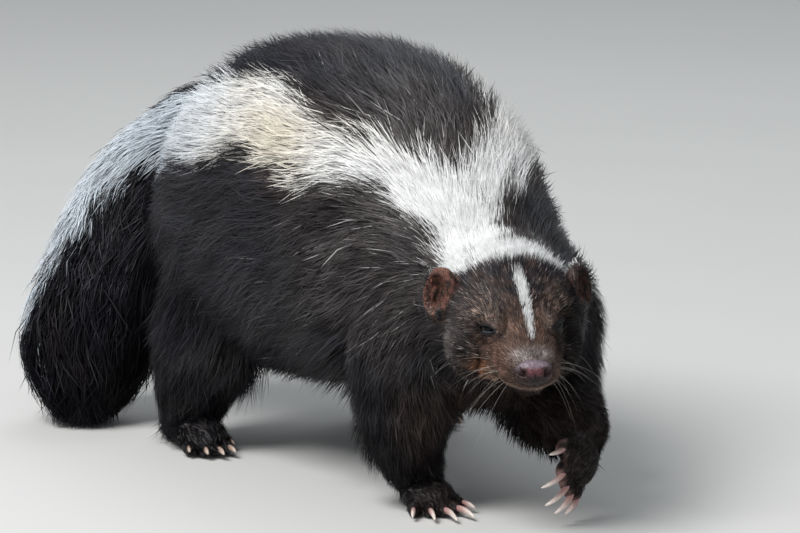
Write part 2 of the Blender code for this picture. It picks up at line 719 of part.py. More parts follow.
def build_body(work):
    """The torso, neck, tail root and legs as one core, with the long coat's locks on it."""
    pieces = [loft("torso", torso_rows(), work, CORE_SHARE, sides=32, square=TORSO_SQUARE)]
    pieces += [loft("neck", NECK, work, CORE_SHARE, sides=24), skull(work, LIMB_SHARE)]
    pieces.append(loft("tail_root", TAIL[:3], work, CORE_SHARE))
    pieces += [loft(name, rows, work, LIMB_SHARE) for name, rows in leg_rows().items()]
    for name, frame in paw_frames().items():
        length, wide, thick = PAWS[name][:3]
        pieces.append(ellipsoid("palm", frame @ Vector((length * 0.42, 0, -PALM_DROP)),
                                (length * 0.62, wide, thick), work, frame.to_3x3()))
    skin = fused("skin", pieces, BODY_VOXEL, 6, work)
    body = decimate(copy_of(skin, "body", work), BODY_FACES)
    draw = random.Random(COAT_SEED)
    add_locks(body, skin, torso_rows(), BODY_LOCK, BODY_SPACING, body_lie, has_body_locks, draw, work)
    bpy.data.objects.remove(skin)
    head_side = box("head_side", (HEAD_CUT - GAP, -FAR, THROAT - GAP), (FAR, FAR, FAR), work, head_frame())
    combine(body, [head_side], "DIFFERENCE", "MANIFOLD")
    combine(body, [tail_region(work, GAP)], "DIFFERENCE", "MANIFOLD")
    for name, frame in paw_frames().items():
        combine(body, [paw_region(name, frame, work, GAP)], "DIFFERENCE", "MANIFOLD")
    combine(body, [box("floor", (-1, -1, -1), (1, 1, 0), work)], "DIFFERENCE", "MANIFOLD")
    return keep_largest(body)


def leg_region(name, where, grow):
    """The block of space below the body that a leg fills."""
    back, front, inner, top = LEG_BLOCKS[name]
    side = 1 if name.endswith("left") else -1
    y = sorted((side * (inner - grow), side * 0.2))
    return box("region", (back - grow, y[0], -0.1), (front + grow, y[1], top + grow), where)


def tail_region(where, grow):
    """The space behind the rump that the tail fills. Its three blocks end on different planes."""
    side, step = ROOT_HALF + grow, 0.01
    blocks = []
    for name, low, high in (
        ("region", (-FAR, ROOT_MIDDLE - side, RUMP_HEIGHT - step), (TAIL_CUT + grow, ROOT_MIDDLE + side, FAR)),
        ("beside", (-FAR - step, -FAR, RUMP_HEIGHT - step / 2), (BESIDE_CUT + grow, FAR, FAR + step)),
        ("below", (-FAR - 2 * step, -FAR - step, -FAR), (RUMP_CUT + grow, FAR + step, RUMP_HEIGHT + grow)),
    ):
        blocks.append(box(name, low, high, where))
    return combine(blocks[0], blocks[1:], "UNION", "MANIFOLD")


def part_body(body, work):
    """The body parted into the neck, the torso and the four legs."""
    nodes = {}
    for name in leg_rows():
        leg = combine(copy_of(body, name, work), [leg_region(name, work, 0.0)], "INTERSECT", "MANIFOLD")
        nodes[name] = keep_largest(leg)
        combine(body, [leg_region(name, work, GAP)], "DIFFERENCE", "MANIFOLD")
    front = [box("front", (NECK_CUT, -1, -1), (1, 1, 1), work)]
    nodes["neck"] = keep_largest(combine(copy_of(body, "neck", work), front, "INTERSECT", "MANIFOLD"))
    combine(body, [box("front", (NECK_CUT - GAP, -1, -1), (1, 1, 1), work)], "DIFFERENCE", "MANIFOLD")
    nodes["torso"] = keep_largest(body)
    return nodes


def tail_lie(place, normal):
    """The tail's coat runs from its root to its tip."""
    fine = catmull(TAIL, 6)
    i = min(nearest_row(fine, place), len(fine) - 2)
    return Vector(fine[i + 1][:3]) - Vector(fine[i][:3])


def build_tail(work):
    skin = fused("skin", [loft("tail", TAIL, work, CORE_SHARE)], BODY_VOXEL, 3, work)
    tail = decimate(copy_of(skin, "tail", work), TAIL_FACES)
    draw = random.Random(COAT_SEED + 1)
    add_locks(tail, skin, TAIL, TAIL_LOCK, TAIL_SPACING, tail_lie,
              lambda place, normal: place.z > LOWEST_TAIL_ROOT, draw, work)
    bpy.data.objects.remove(skin)
    combine(tail, [tail_region(work, 0.0)], "INTERSECT", "MANIFOLD")
    combine(tail, [box("floor", (-1, -1, -1), (1, 1, FLOOR_CLEAR), work)], "DIFFERENCE", "MANIFOLD")
    return keep_largest(tail)


def main():
    clear_scene()
    work = collection("work")
    skunk = collection("striped_skunk")
    head = build_head(work)
    for ear in build_ears(head, work):
        finish(ear, ear.name, "ear_skin", skunk)
    finish(head, "head", "face_brown", skunk)
    finish(build_nose(work), "nose", "nose_skin", skunk)
    frame = head_frame()
    for side, name in ((-1, "eye_right"), (1, "eye_left")):
        centre = frame @ Vector((EYE.x, EYE.y * side, EYE.z))
        finish(ellipsoid(name, centre, (EYE_RADIUS,) * 3, work, frame.to_3x3(), 12), name, "eye", skunk)
    for name, node in part_body(build_body(work), work).items():
        finish(node, name, "coat_black", skunk)
    finish(build_tail(work), "tail", "coat_black", skunk)
    for paw, place in paw_frames().items():
        made, claws = build_paw(paw, place, work)
        finish(made, paw, "coat_black", skunk)
        for one in claws:
            finish(one, one.name, "claw", skunk)
    bpy.data.collections.remove(work)


main()
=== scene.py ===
"""The looks of a life-size still striped skunk: one skin, a coat of tufts, whiskers, eyes, nose and claws.

+X is the way the body faces, +Y is the animal's left and +Z is up. The floor is z = 0. Everything is in
metres. The forms are made in the body's own coordinates from the construction's rows, and moved by -ORIGIN.
"""

import math

import bmesh
import bpy
import numpy as np
from mathutils import Matrix, Vector
from mathutils.bvhtree import BVHTree
from mathutils.kdtree import KDTree


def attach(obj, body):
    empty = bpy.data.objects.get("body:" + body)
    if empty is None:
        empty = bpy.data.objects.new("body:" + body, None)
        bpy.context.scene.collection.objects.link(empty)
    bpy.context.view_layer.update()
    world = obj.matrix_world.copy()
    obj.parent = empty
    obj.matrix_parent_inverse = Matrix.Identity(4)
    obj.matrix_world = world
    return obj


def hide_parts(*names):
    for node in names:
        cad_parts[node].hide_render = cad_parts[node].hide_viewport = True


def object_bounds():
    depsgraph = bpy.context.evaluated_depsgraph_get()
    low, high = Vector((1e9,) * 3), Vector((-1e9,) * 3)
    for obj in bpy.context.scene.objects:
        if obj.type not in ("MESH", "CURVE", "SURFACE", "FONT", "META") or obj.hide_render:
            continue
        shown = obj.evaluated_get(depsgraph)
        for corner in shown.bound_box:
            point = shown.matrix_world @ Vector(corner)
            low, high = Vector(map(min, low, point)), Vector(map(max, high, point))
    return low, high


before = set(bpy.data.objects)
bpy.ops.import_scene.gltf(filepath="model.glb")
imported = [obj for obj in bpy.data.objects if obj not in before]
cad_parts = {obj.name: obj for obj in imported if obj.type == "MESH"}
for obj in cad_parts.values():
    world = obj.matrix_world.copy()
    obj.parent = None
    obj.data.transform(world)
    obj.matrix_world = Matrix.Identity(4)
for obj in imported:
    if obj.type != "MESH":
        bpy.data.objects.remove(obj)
CAD_LOW, CAD_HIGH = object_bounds()

ORIGIN = Vector((-0.0229, -0.0140, 0.0))  # below the model's middle, in the body's own coordinates

# The torso from rump to chest: x, y, top, underside, half width, coat depth
TORSO = [
    (-0.199, -0.014, 0.188, 0.140, 0.024, 0.010),
    (-0.180, -0.012, 0.207, 0.108, 0.050, 0.018),
    (-0.150, -0.010, 0.225, 0.064, 0.073, 0.024),
    (-0.105, -0.008, 0.238, 0.046, 0.085, 0.027),
    (-0.052, -0.006, 0.244, 0.043, 0.088, 0.028),
    (-0.008, -0.006, 0.240, 0.046, 0.086, 0.027),
    (0.030, -0.006, 0.220, 0.051, 0.079, 0.024),
    (0.064, -0.005, 0.190, 0.056, 0.070, 0.020),
    (0.095, -0.003, 0.170, 0.058, 0.061, 0.016),
    (0.124, -0.004, 0.156, 0.072, 0.048, 0.012),
    (0.146, -0.008, 0.146, 0.096, 0.034, 0.009),
]
TORSO_SQUARE = 2.5

# The neck: x, y, z, half width, half height, coat depth
NECK = [
    (0.080, 0.002, 0.119, 0.052, 0.048, 0.010),
    (0.112, -0.002, 0.116, 0.046, 0.042, 0.006),
    (0.138, -0.010, 0.113, 0.041, 0.037, 0.002),
]

# The tail from the rump to its tip
TAIL = [
    (-0.160, -0.010, 0.170, 0.022, 0.026, 0.010),
    (-0.192, -0.016, 0.171, 0.030, 0.034, 0.018),
    (-0.216, -0.030, 0.154, 0.034, 0.034, 0.022),
    (-0.229, -0.050, 0.126, 0.037, 0.036, 0.025),
    (-0.227, -0.070, 0.090, 0.040, 0.039, 0.028),
    (-0.218, -0.088, 0.055, 0.042, 0.040, 0.030),
    (-0.210, -0.097, 0.028, 0.036, 0.032, 0.024),
    (-0.204, -0.102, 0.008, 0.012, 0.010, 0.006),
]

# The legs from the body to the wrist or ankle
FORELEG_RIGHT = [
    (0.090, -0.030, 0.128, 0.028, 0.036, 0.012),
    (0.084, -0.044, 0.102, 0.030, 0.037, 0.011),
    (0.082, -0.048, 0.078, 0.031, 0.036, 0.009),
    (0.084, -0.047, 0.056, 0.031, 0.033, 0.007),
    (0.082, -0.045, 0.034, 0.022, 0.023, 0.005),
    (0.086, -0.040, 0.0135, 0.0155, 0.0165, 0.004),
]
FORELEG_LEFT = [
    (0.092, 0.028, 0.128, 0.034, 0.036, 0.012),
    (0.092, 0.037, 0.098, 0.035, 0.034, 0.011),
    (0.098, 0.033, 0.073, 0.034, 0.030, 0.009),
    (0.115, 0.029, 0.058, 0.030, 0.024, 0.007),
    (0.139, 0.027, 0.0495, 0.022, 0.019, 0.005),
    (0.158, 0.028, 0.0435, 0.013, 0.014, 0.004),
]
HIND_LEG = [
    (-0.112, 0.044, 0.140, 0.034, 0.054, 0.022),
    (-0.106, 0.054, 0.104, 0.033, 0.050, 0.019),
    (-0.105, 0.063, 0.072, 0.032, 0.044, 0.013),
    (-0.113, 0.069, 0.040, 0.025, 0.032, 0.007),
    (-0.118, 0.072, 0.0145, 0.016, 0.019, 0.004),
]
HIND_RIGHT_AHEAD, HIND_LEFT_AHEAD = -0.012, -0.016

# The head's own frame: its origin is the tip of the nose, and x runs forwards
NOSE_TIP = Vector((0.215, -0.044, 0.097))
HEAD_YAW, HEAD_PITCH, HEAD_ROLL = math.radians(-19.3), math.radians(15), math.radians(1)
SKULL = [
    (-0.002, 0, -0.0010, 0.0095, 0.0080, 0.0010),
    (-0.007, 0, -0.0020, 0.0145, 0.0120, 0.0015),
    (-0.018, 0, -0.0025, 0.0190, 0.0150, 0.0025),
    (-0.030, 0, -0.0005, 0.0225, 0.0185, 0.0035),
    (-0.043, 0, 0.0020, 0.0300, 0.0230, 0.0045),
    (-0.058, 0, 0.0050, 0.0370, 0.0275, 0.0055),
    (-0.074, 0, 0.0070, 0.0400, 0.0305, 0.0070),
    (-0.092, 0, 0.0060, 0.0395, 0.0310, 0.0085),
    (-0.112, 0, 0.0030, 0.0370, 0.0310, 0.0090),
]
# Soft forms on both sides of the head: centre for the left side, half sizes, depth of the coat over them
HEAD_FORMS = [
    ((-0.057, 0.0225, -0.009), (0.026, 0.0155, 0.0190), 0.0042),
    ((-0.036, 0.0125, -0.0125), (0.019, 0.0115, 0.0105), 0.0024),
    ((-0.044, 0.015, 0.015), (0.014, 0.0085, 0.0060), 0.0020),
    ((-0.015, 0.0085, -0.005), (0.0115, 0.0090, 0.0085), 0.0014),
]
CHIN = ((-0.020, 0.0, -0.0150), (0.0140, 0.0095, 0.0050), 0.0014)
EYE = Vector((-0.0365, 0.0172, 0.0103))
EYE_RADIUS, LID_THICKNESS = 0.0050, 0.0011
EYE_SLIT = (0.0062, 0.0062, 0.0019)
GAZE, GAZE_RISE, SLIT_TILT = math.radians(34), math.radians(12), math.radians(10)
EAR = Vector((-0.0720, 0.0380, 0.0140))
EAR_SIZE = (0.0068, 0.0115, 0.0142)
EAR_TURN, EAR_LEAN = math.radians(58), math.radians(-12)
# The ear's hollow as shares of its size and how high it sits, and the place and half sizes of its fold
# and its lobe
EAR_HOLLOW, HOLLOW_AHEAD, HOLLOW_RISE = (0.98, 0.80, 0.82), 0.90, 0.0006
EAR_FOLD = (-0.0012, 0.34, -0.0020), (0.0028, 0.0022, 0.0085)  # only its second place is a share
EAR_LOBE = (0.0016, -0.50, -0.50), (0.0042, 0.0036, 0.0052)  # its second and third are shares
NOSE_PAD = (0.0078, 0.0104, 0.0078)
NOSE_PLACE = Vector((-0.0060, 0.0, -0.0022))
MOUTH_DROP, MOUTH_HEIGHT = 0.0115, 0.0009
MOUTH_REACH, MOUTH_HALF, MOUTH_TURN = 0.034, 0.0150, math.radians(74)

# The paws: length, half width, half thickness, toe spread, side of the inner toe, toe half sizes, claw
FORE_CLAW, HIND_CLAW = 0.0185, 0.010
FORE_SPREAD, HIND_SPREAD = math.radians(13), math.radians(9)
PAWS = {
    "forepaw_right": (0.030, 0.0155, 0.0100, FORE_SPREAD, 1, (0.0095, 0.0044, 0.0052), FORE_CLAW),
    "forepaw_left": (0.030, 0.0155, 0.0100, FORE_SPREAD, -1, (0.0095, 0.0044, 0.0052), FORE_CLAW),
    "hindpaw_right": (0.046, 0.0150, 0.0105, HIND_SPREAD, 1, (0.0090, 0.0042, 0.0052), HIND_CLAW),
    "hindpaw_left": (0.046, 0.0150, 0.0105, HIND_SPREAD, -1, (0.0090, 0.0042, 0.0052), HIND_CLAW),
}
LIFTED = "forepaw_left"
CLAW_SHARE = (0.58, 0.95, 1.0, 0.85, 0.66)
CLAW_DEPTH = 0.0018
CLAW_SHAPE = (0, 0.25, 0.5, 0.75, 0.95, 1), (0.95, 1.05, 0.98, 0.78, 0.44, 0.15)
CLAW_BEND, CLAW_RISE = math.radians(48), math.radians(-8)
FLAT_BEND, FLAT_RISE = math.radians(34), math.radians(11)
TOES = 5
# As shares of a paw's length and half width
TOES_AHEAD, TOE_ARC, THUMB_BACK, TOE_STEP, PALM_AHEAD, PALM_LONG = 0.98, 0.05, 0.20, 0.42, 0.42, 0.62
CLAW_PLACE = (0.80, 0.0010)  # a claw's root: the share of the toe's half length, and metres up
PALM_DROP, TOE_DROP, HEEL_DROP = 0.005, 0.0095, 0.007

# How much of the coat's depth the skin leaves to the tufts
BODY_SHARE, NECK_SHARE, LIMB_SHARE, HEAD_SHARE = 0.60, 0.80, 0.90, 1.0
BODY_VOXEL, HEAD_VOXEL, PAW_VOXEL, EAR_VOXEL = 0.0026, 0.0009, 0.0009, 0.0006

OUTLINE_VOXEL = 0.0022
SKIN_ROUNDS, PAW_ROUNDS = 5, 3  # rounds of smoothing
PAW_THIN = 0.0016  # how far the paws' skin lies under their fur
HEEL_BACK, HEEL_SIZE = -0.010, (0.014, 0.0115, 0.009)
ORBIT_SHIFT, ORBIT_SIZE = (-0.001, -0.0030, -0.0015), (0.0125, 0.0080, 0.0095)
SOCKET_GAP = 0.0001  # between an eyeball and its socket
FLANK_DROP = 0.38  # how steeply the coat hangs on the flanks
UNWRAP_FACES = 9000
SKIN_LOWEST, TUFT_LOWEST = 0.0004, 0.0003  # how far the skin and the tufts stay above the floor
TUFT_PATCH = 0.003  # how far a tuft's patch reaches across the unwrap
BOX_SPARE = 0.003  # how far the coat may reach past the construction's box
PIECE_FACES = 195000  # the most triangles of one piece of the coat
VIEW_RIGHT = (0.5, 0.866, 0)  # the way to the right in the photograph
GUIDES = 3  # how many guides a tuft follows
UNEVEN, RAGGED = 0.15, 0.12  # how much the guides differ in length, and the tufts of one guide
OWN_DEPTH = 0.25  # the share of a guide's height that is its root's, and not that of the coat above it
DRIFT = 0.20  # how much the tufts of one guide part
WHISKER_WIDE, WHISKER_TAPER = 0.00015, (1.0, 0.9, 0.8, 0.65, 0.5, 0.3)
WHISKER_ROWS, WHISKERS_A_ROW, WHISKER_DROOP = 4, 3, (-0.25, 0, -0.62)
WHISKER_LONG, BROW_LONG, CHEEK_LONG = (0.020, 0.036), (0.010, 0.016), (0.016, 0.026)  # shortest, longest

work = bpy.data.collections.new("work")
bpy.context.scene.collection.children.link(work)


# ---- Shapes ----

def object_from(bm, name, where=work):
    mesh = bpy.data.meshes.new(name)
    bmesh.ops.recalc_face_normals(bm, faces=bm.faces)
    bm.to_mesh(mesh)
    bm.free()
    obj = bpy.data.objects.new(name, mesh)
    where.objects.link(obj)
    return obj


def catmull(rows, steps):
    """Rows of numbers along a smooth curve through the given rows."""
    found = []
    for i in range(len(rows) - 1):
        before, after = rows[max(i - 1, 0)], rows[min(i + 2, len(rows) - 1)]
        for k in range(steps):
            t = k / steps
            found.append(tuple(
                0.5 * (2 * b + (c - a) * t + (2 * a - 5 * b + 4 * c - d) * t * t
                       + (3 * b - a - 3 * c + d) * t ** 3)
                for a, b, c, d in zip(before, rows[i], rows[i + 1], after)))
    return found + [tuple(rows[-1])]


def squared(value, power):
    return math.copysign(abs(value) ** (2 / power), value)


def loft(name, rows, share=0.0, sides=32, steps=6, square=2.0):
    """A closed tube through rows of x, y, z, half width, half height and coat depth."""
    across = Vector((0, 1, 0))
    rows = catmull(rows, steps)
    centres = [Vector(r[:3]) for r in rows]
    bm = bmesh.new()
    rings = []
    for i, row in enumerate(rows):
        along = (centres[min(i + 1, len(rows) - 1)] - centres[max(i - 1, 0)]).normalized()
        side = (across - along * across.dot(along)).normalized()
        up = along.cross(side)
        wide, high = (row[k] - share * row[5] for k in (3, 4))
        rings.append([
            bm.verts.new(centres[i] + side * wide * squared(math.cos(a), square)
                         + up * high * squared(math.sin(a), square))
            for a in (2 * math.pi * k / sides for k in range(sides))])
    for one, two in zip(rings, rings[1:]):
        for k in range(sides):
            bm.faces.new((one[k], one[(k + 1) % sides], two[(k + 1) % sides], two[k]))
    bm.faces.new(rings[0])
    bm.faces.new(rings[-1])
    return object_from(bm, name)


def ellipsoid(name, centre, radii, turn=Matrix.Identity(3), detail=24):
    bm = bmesh.new()
    place = Matrix.Translation(centre) @ turn.to_4x4() @ Matrix.Diagonal((*radii, 1))
    bmesh.ops.create_uvsphere(bm, u_segments=detail, v_segments=detail // 2 + 1, radius=1, matrix=place)
    return object_from(bm, name)


def apply_modifiers(obj):
    graph = bpy.context.evaluated_depsgraph_get()
    graph.update()
    mesh = bpy.data.meshes.new_from_object(obj.evaluated_get(graph))
    obj.modifiers.clear()
    obj.data = mesh
    return obj


def fused(name, pieces, voxel, rounds):
    """The pieces as one smooth closed skin. The pieces are used up."""
    bm = bmesh.new()
    for piece in pieces:
        bm.from_mesh(piece.data)
        bpy.data.objects.remove(piece)
    whole = object_from(bm, name)
    remesh = whole.modifiers.new("Remesh", "REMESH")
    remesh.mode, remesh.voxel_size = "VOXEL", voxel
    smooth = whole.modifiers.new("Smooth", "SMOOTH")
    smooth.factor, smooth.iterations = 0.5, rounds
    return apply_modifiers(whole)


def combine(obj, others, operation, solver="MANIFOLD"):
    """Joins, cuts or intersects obj with every mesh in others, which are then removed."""
    group = bpy.data.collections.new("operands")
    bpy.context.scene.collection.children.link(group)
    for other in others:
        group.objects.link(other)
    cut = obj.modifiers.new("Boolean", "BOOLEAN")
    cut.operation, cut.solver = operation, solver
    cut.operand_type, cut.collection = "COLLECTION", group
    apply_modifiers(obj)
    bpy.data.collections.remove(group)
    for other in others:
        bpy.data.objects.remove(other)
    return obj


def pulled(items, name, width=3, kind=np.float32):
    """A row of values for each of a mesh's items."""
    values = np.zeros(len(items) * width, kind)
    items.foreach_get(name, values)
    return values.reshape(-1, width)


def coordinates(obj):
    return pulled(obj.data.vertices, "co").astype(float)


def move_vertices(mesh, places):
    mesh.vertices.foreach_set("co", places.astype(np.float32).ravel())


def keep_above(obj, height):
    """Lifts the vertices of obj that are lower than height."""
    co = coordinates(obj)
    co[:, 2] = np.maximum(co[:, 2], height)
    move_vertices(obj.data, co)


def triangles_of(obj):
    obj.data.calc_loop_triangles()
    return pulled(obj.data.loop_triangles, "vertices", 3, np.int32)


def surface_of(obj):
    bm = bmesh.new()
    bm.from_mesh(obj.data)
    tree = BVHTree.FromBMesh(bm)
    bm.free()
    return tree


def frame_of(origin, forward, up):
    x = Vector(forward).normalized()
    y = Vector(up).cross(x).normalized()
    z = x.cross(y)
    return Matrix.Translation(origin) @ Matrix((x, y, z)).transposed().to_4x4()


def mirrored(rows):
    return [(r[0], -r[1], *r[2:]) for r in rows]


def shifted(rows, ahead):
    last = len(rows) - 1
    return [(r[0] + ahead * i / last, *r[1:]) for i, r in enumerate(rows)]


TORSO_ROWS = [(x, y, (top + low) / 2, wide, (top - low) / 2, coat) for x, y, top, low, wide, coat in TORSO]
LEGS = {
    "foreleg_right": FORELEG_RIGHT,
    "foreleg_left": FORELEG_LEFT,
    "hindleg_right": shifted(mirrored(HIND_LEG), HIND_RIGHT_AHEAD),
    "hindleg_left": shifted(HIND_LEG, HIND_LEFT_AHEAD),
}
ENDS = {name: Vector(rows[-1][:3]) for name, rows in LEGS.items()}
PAW_FRAMES = {
    "forepaw_right": frame_of(ENDS["foreleg_right"], (1, -0.12, 0), (0, 0, 1)),
    "forepaw_left": frame_of(ENDS["foreleg_left"], (0.60, -0.58, -0.55), (0.75, 0.64, 0.14)),
    "hindpaw_right": frame_of(ENDS["hindleg_right"], (1, -0.10, 0), (0, 0, 1)),
    "hindpaw_left": frame_of(ENDS["hindleg_left"], (1, 0.10, 0), (0, 0, 1)),
}
HEAD = (Matrix.Translation(NOSE_TIP) @ Matrix.Rotation(HEAD_YAW, 4, "Z")
        @ Matrix.Rotation(HEAD_PITCH, 4, "Y") @ Matrix.Rotation(HEAD_ROLL, 4, "X"))
HEAD_TURN = HEAD.to_3x3()


def head_lofts(share):
    """The skull, cheeks, brows, whisker pads and chin, with a share of the coat's depth left off."""
    head = loft("skull", SKULL, share)
    head.data.transform(HEAD)
    pieces = [head]
    for side in (-1, 1):
        for (x, y, z), radii, coat in HEAD_FORMS:
            thin = [r - coat * share for r in radii]
            pieces.append(ellipsoid("form", HEAD @ Vector((x, y * side, z)), thin, HEAD_TURN))
    centre, radii, coat = CHIN
    pieces.append(ellipsoid("chin", HEAD @ Vector(centre), [r - coat * share for r in radii], HEAD_TURN))
    return pieces


def toe_places(length, wide, spread, inner):
    """Each toe's middle and yaw in the paw's frame."""
    places = []
    for i in range(TOES):
        k = i - (TOES - 1) / 2
        back = TOE_ARC * k * k + (THUMB_BACK if k * inner == (TOES - 1) / 2 else 0)
        places.append((Vector((length * (TOES_AHEAD - back), wide * TOE_STEP * k, -TOE_DROP)), k * spread))
    return places


def paw_pieces(paw, thin=0.0):
    """The palm, toes, heel and wrist of a paw."""
    length, wide, thick, spread, inner, toe, _ = PAWS[paw]
    place = PAW_FRAMES[paw]
    turn = place.to_3x3()
    radii = (length * PALM_LONG - thin, wide - thin, thick - thin)
    pieces = [ellipsoid("palm", place @ Vector((length * PALM_AHEAD, 0, -PALM_DROP)), radii, turn)]
    for centre, yaw in toe_places(length, wide, spread, inner):
        aim = turn @ Matrix.Rotation(yaw, 3, "Z")
        pieces.append(ellipsoid("toe", place @ centre, [r - thin * 0.5 for r in toe], aim))
    leg = paw.replace("paw", "leg")
    pieces.append(loft("limb", LEGS[leg][-3:], LIMB_SHARE if thin else 0.0))
    if paw.startswith("hind"):
        heel = place @ Vector((HEEL_BACK, 0, -HEEL_DROP))
        pieces.append(ellipsoid("heel", heel, [r - thin for r in HEEL_SIZE], turn))
    return pieces


def claw_frames(paw):
    """Each claw's frame and length, with its bend."""
    length, wide, _, spread, inner, toe, claw_length = PAWS[paw]
    rise, bend = (CLAW_RISE, CLAW_BEND) if paw == LIFTED else (FLAT_RISE, FLAT_BEND)
    shares = CLAW_SHARE if inner == -1 else CLAW_SHARE[::-1]
    found = []
    for (centre, yaw), share in zip(toe_places(length, wide, spread, inner), shares):
        turn = Matrix.Rotation(yaw, 4, "Z") @ Matrix.Rotation(-rise, 4, "Y")
        root = centre + Matrix.Rotation(yaw, 3, "Z") @ Vector((toe[0] * CLAW_PLACE[0], 0, CLAW_PLACE[1]))
        found.append((PAW_FRAMES[paw] @ Matrix.Translation(root) @ turn, claw_length * share, bend))
    return found


def ear_place(side):
    middle = HEAD @ Vector((EAR.x, EAR.y * side, EAR.z))
    return middle, HEAD_TURN @ Matrix.Rotation(side * EAR_TURN, 3, "Z") @ Matrix.Rotation(EAR_LEAN, 3, "Y")


def seen_from(place, places):
    """Places in the own coordinates of an ear or an eye."""
    return to_frame(Matrix.Translation(place[0]) @ place[1].to_4x4(), places)


def eye_place(side):
    """An eye's centre, and the way it looks with the slant of its slit."""
    turn = HEAD_TURN @ Matrix.Rotation(side * GAZE, 3, "Z") @ Matrix.Rotation(-GAZE_RISE, 3, "Y")
    return HEAD @ Vector((EYE.x, EYE.y * side, EYE.z)), turn @ Matrix.Rotation(-side * SLIT_TILT, 3, "X")


def mouth_cutter():
    """A thin horseshoe plate that presses the line of the mouth into the muzzle."""
    bm = bmesh.new()
    steps, beyond, slope = 32, 0.02, 0.11
    inner, outer = [], []
    for i in range(steps + 1):
        a = MOUTH_TURN * (2 * i / steps - 1)
        inner.append((MOUTH_REACH * math.cos(a), MOUTH_HALF * math.sin(a)))
        outer.append(((MOUTH_REACH + beyond) * math.cos(a), (MOUTH_HALF + beyond) * math.sin(a)))
    rings = []
    for points in (inner, outer):
        for z in (-MOUTH_HEIGHT / 2, MOUTH_HEIGHT / 2):
            rings.append([bm.verts.new((x, y, z - slope * (MOUTH_REACH - x))) for x, y in points])
    low_in, high_in, low_out, high_out = rings
    for a, b in ((low_in, low_out), (low_out, high_out), (high_out, high_in), (high_in, low_in)):
        for k in range(steps):
            bm.faces.new((a[k], a[k + 1], b[k + 1], b[k]))
    for k in (0, steps):
        bm.faces.new((low_in[k], low_out[k], high_out[k], high_in[k]))
    bm.transform(HEAD @ Matrix.Translation((-0.0045 - MOUTH_REACH, 0, -MOUTH_DROP)))
    bmesh.ops.triangulate(bm, faces=bm.faces)
    return object_from(bm, "mouth")


def build_outline():
    """The outer outline of the coat, which tells how deep the coat is over each place of the skin."""
    pieces = [loft("torso", TORSO_ROWS, square=TORSO_SQUARE), loft("neck", NECK), loft("tail", TAIL)]
    pieces += [loft(name, rows) for name, rows in LEGS.items()]
    pieces += head_lofts(0.0)
    for paw in PAWS:
        pieces += paw_pieces(paw)
    return fused("outline", pieces, OUTLINE_VOXEL, PAW_ROUNDS)


def build_ear(side):
    """The cup of an ear, with a fold and the lobe before its opening."""
    middle, turn = ear_place(side)
    depth, wide, high = EAR_SIZE
    cup = ellipsoid("ear", middle, EAR_SIZE, turn, 40)
    radii = [size * share for size, share in zip(EAR_SIZE, EAR_HOLLOW)]
    place = middle + turn @ Vector((depth * HOLLOW_AHEAD, 0, HOLLOW_RISE))
    combine(cup, [ellipsoid("hollow", place, radii, turn, 40)], "DIFFERENCE")
    (ahead, along, rise), radii = EAR_FOLD
    fold = ellipsoid("fold", middle + turn @ Vector((ahead, wide * along * side, rise)), radii, turn)
    combine(cup, [fold], "UNION")
    (ahead, along, rise), radii = EAR_LOBE
    lobe = ellipsoid("lobe", middle + turn @ Vector((ahead, wide * along * side, high * rise)), radii, turn)
    combine(cup, [lobe], "UNION")
    return fused("ear", [cup], EAR_VOXEL, SKIN_ROUNDS)


def build_skin():
    """One closed skin for the whole body."""
    pieces = [loft("torso", TORSO_ROWS, BODY_SHARE, square=TORSO_SQUARE), loft("neck", NECK, NECK_SHARE),
              loft("tail", TAIL, BODY_SHARE)]
    pieces += [loft(name, rows, LIMB_SHARE) for name, rows in LEGS.items()]
    body = fused("skin", pieces, BODY_VOXEL, SKIN_ROUNDS)

    pieces = head_lofts(HEAD_SHARE) + [loft("neck", NECK, NECK_SHARE)]
    for side in (-1, 1):
        x, y, z = EYE + Vector(ORBIT_SHIFT)
        lids = (EYE_RADIUS + LID_THICKNESS,) * 3
        pieces.append(ellipsoid("orbit", HEAD @ Vector((x, y * side, z)), ORBIT_SIZE, HEAD_TURN))
        pieces.append(ellipsoid("lids", eye_place(side)[0], lids, HEAD_TURN, 48))
    head = fused("head", pieces, HEAD_VOXEL, SKIN_ROUNDS)
    sockets = [mouth_cutter()]
    for side in (-1, 1):
        centre, gaze = eye_place(side)
        ahead = centre + gaze @ Vector((EYE_RADIUS * 0.75, 0, 0))
        sockets.append(ellipsoid("socket", centre, (EYE_RADIUS + SOCKET_GAP,) * 3, HEAD_TURN, 48))
        sockets.append(ellipsoid("slit", ahead, EYE_SLIT, gaze, 40))
    combine(head, [build_ear(-1), build_ear(1)], "UNION")
    for socket in sockets:
        combine(head, [socket], "DIFFERENCE")
    paws = [fused(paw, paw_pieces(paw, PAW_THIN), PAW_VOXEL, PAW_ROUNDS) for paw in PAWS]
    skin = combine(body, [head] + paws, "UNION")
    skin.name = "skin"
    keep_above(skin, SKIN_LOWEST)
    skin.data.update()
    return skin


# ---- Fields over the body ----

def unit(vectors):
    return vectors / np.maximum(np.linalg.norm(vectors, axis=-1, keepdims=True), 1e-12)


def noise(places, scale, seed, waves=14):
    """Smooth noise, mostly between -1 and 1, whose forms are about scale across."""
    draw = np.random.default_rng(seed)
    ways = unit(draw.normal(size=(waves, 3))) * (math.pi / scale) * draw.uniform(0.5, 1.5, (waves, 1))
    turns = draw.uniform(0, 2 * math.pi, waves)
    return np.sin(places @ ways.T + turns).sum(1) / math.sqrt(waves / 2) * 0.7


def smooth_step(value, low, high):
    t = np.clip((value - low) / (high - low), 0, 1)
    return t * t * (3 - 2 * t)


def within(*edges):
    """A product of smooth steps, each given as its value and the two edges between which it rises."""
    return math.prod(smooth_step(*edge) for edge in edges)


